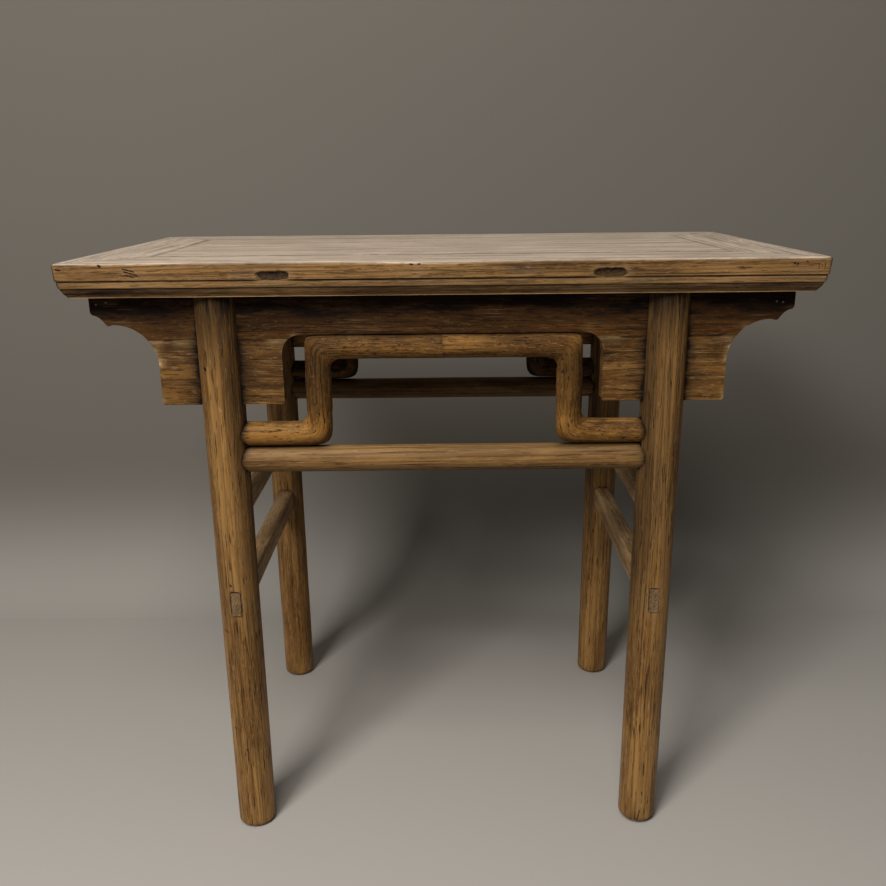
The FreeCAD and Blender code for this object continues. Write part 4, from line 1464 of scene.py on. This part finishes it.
def one_sided(surface, tree):
    """Leaves out the back of a sheet, so that it hides nothing from a view behind it."""
    clear = tree.nodes.new("ShaderNodeBsdfTransparent")
    facing = tree.nodes.new("ShaderNodeNewGeometry")
    choice = tree.nodes.new("ShaderNodeMixShader")
    end = tree.nodes["Material Output"]
    tree.links.new(facing.outputs["Backfacing"], choice.inputs[0])
    tree.links.new(surface.outputs[0], choice.inputs[1])
    tree.links.new(clear.outputs[0], choice.inputs[2])
    tree.links.new(choice.outputs[0], end.inputs[0])


def studio_sheet(name, path, see_through):
    """A plain grey sheet through points (y, z), a little darker with its distance and height."""
    half_width = 4.0
    fade_from, fade_to = -0.16, 0.33
    slant = (0, 0.1, 1)
    points = [(x, y, z) for y, z in path for x in (-half_width, half_width)]
    faces = [(2 * i, 2 * i + 1, 2 * i + 3, 2 * i + 2) for i in range(len(path) - 1)]
    mesh = mesh_of(name, points, faces)
    mesh.shade_smooth()
    material = bpy.data.materials.new(name + "_grey")
    material.use_nodes = True
    tree = material.node_tree
    surface = tree.nodes["Principled BSDF"]
    place = node(tree, "TexCoord", {}).outputs["Object"]
    rise = vectors(tree, "DOT_PRODUCT", place, slant).outputs["Value"]
    colour = blend(tree, fade(tree, rise, fade_from, fade_to), floor_grey, wall_grey)
    tree.links.new(colour, surface.inputs["Base Color"])
    surface.inputs["Roughness"].default_value = 0.8
    surface.inputs["Specular IOR Level"].default_value = 0.2
    if see_through:
        one_sided(surface, tree)
    mesh.materials.append(material)
    sheet = bpy.data.objects.new(name, mesh)
    bpy.context.scene.collection.objects.link(sheet)


def make_backdrop():
    """A pale floor, and a darker sheet that curves up from it behind the table."""
    wall_y = 0.75
    sweep = 0.3
    wall_height = 2.6
    floor_reach = 3.2
    above_floor = 0.5 * mm
    studio_sheet("floor", [(-floor_reach, 0.0), (floor_reach, 0.0)], False)
    path = [(wall_y - sweep + sweep * math.sin(a), above_floor + sweep - sweep * math.cos(a))
            for a in np.linspace(0, math.pi / 2, 17)]
    studio_sheet("wall", path + [(wall_y, wall_height)], True)


# The lamps: place, what each faces, width, height and power

lamps = {
    "overhead": ((-0.1, -0.5, 3.2), (0, 0, 0.6), 2.4, 2.0, 5),
    "high_front": ((-0.5, -1.7, 3.0), (0, 0, 0.6), 1.3, 1.0, 38),
    "key_left": ((-1.3, -2.5, 2.5), (0, 0, 0.5), 1.0, 0.8, 64),
    "fill_right": ((2.3, -2.5, 1.6), (0, 0, 0.5), 1.6, 1.4, 2),
}
sky_strength = 0.04


def make_lights():
    """Soft lamps above and before the table, and a faint even light from all round."""
    for name, (place, target, width, height, power) in lamps.items():
        lamp = bpy.data.lights.new(name, "AREA")
        lamp.shape = "RECTANGLE"
        lamp.size = width
        lamp.size_y = height
        lamp.energy = power
        light = bpy.data.objects.new(name, lamp)
        light.location = place
        light.rotation_euler = (Vector(target) - Vector(place)).to_track_quat("-Z", "Y").to_euler()
        bpy.context.scene.collection.objects.link(light)
    world = bpy.data.worlds.new("studio")
    world.use_nodes = True
    sky = world.node_tree.nodes["Background"]
    sky.inputs["Color"].default_value = (1, 1, 1, 1)
    sky.inputs["Strength"].default_value = sky_strength
    bpy.context.scene.world = world
    bpy.context.scene.view_settings.view_transform = "Standard"


def make_camera():
    """The camera, turned level first, then down and over."""
    pitch, yaw, roll = (math.radians(angle) for angle in (camera_pitch, camera_yaw, camera_roll))
    ahead = Vector((math.sin(yaw) * math.cos(pitch), math.cos(yaw) * math.cos(pitch), -math.sin(pitch)))
    level = Vector((math.cos(yaw), -math.sin(yaw), 0))
    upright = level.cross(ahead)
    across = math.cos(roll) * level - math.sin(roll) * upright
    rise = math.sin(roll) * level + math.cos(roll) * upright
    camera = bpy.data.cameras.new("camera")
    camera.sensor_width = 36
    camera.lens = camera_lens
    holder = bpy.data.objects.new("camera", camera)
    turn = Matrix((across, rise, -ahead)).transposed().to_4x4()
    holder.matrix_world = Matrix.Translation(camera_place) @ turn
    bpy.context.scene.collection.objects.link(holder)
    bpy.context.scene.camera = holder


make_backdrop()
make_lights()
make_camera()
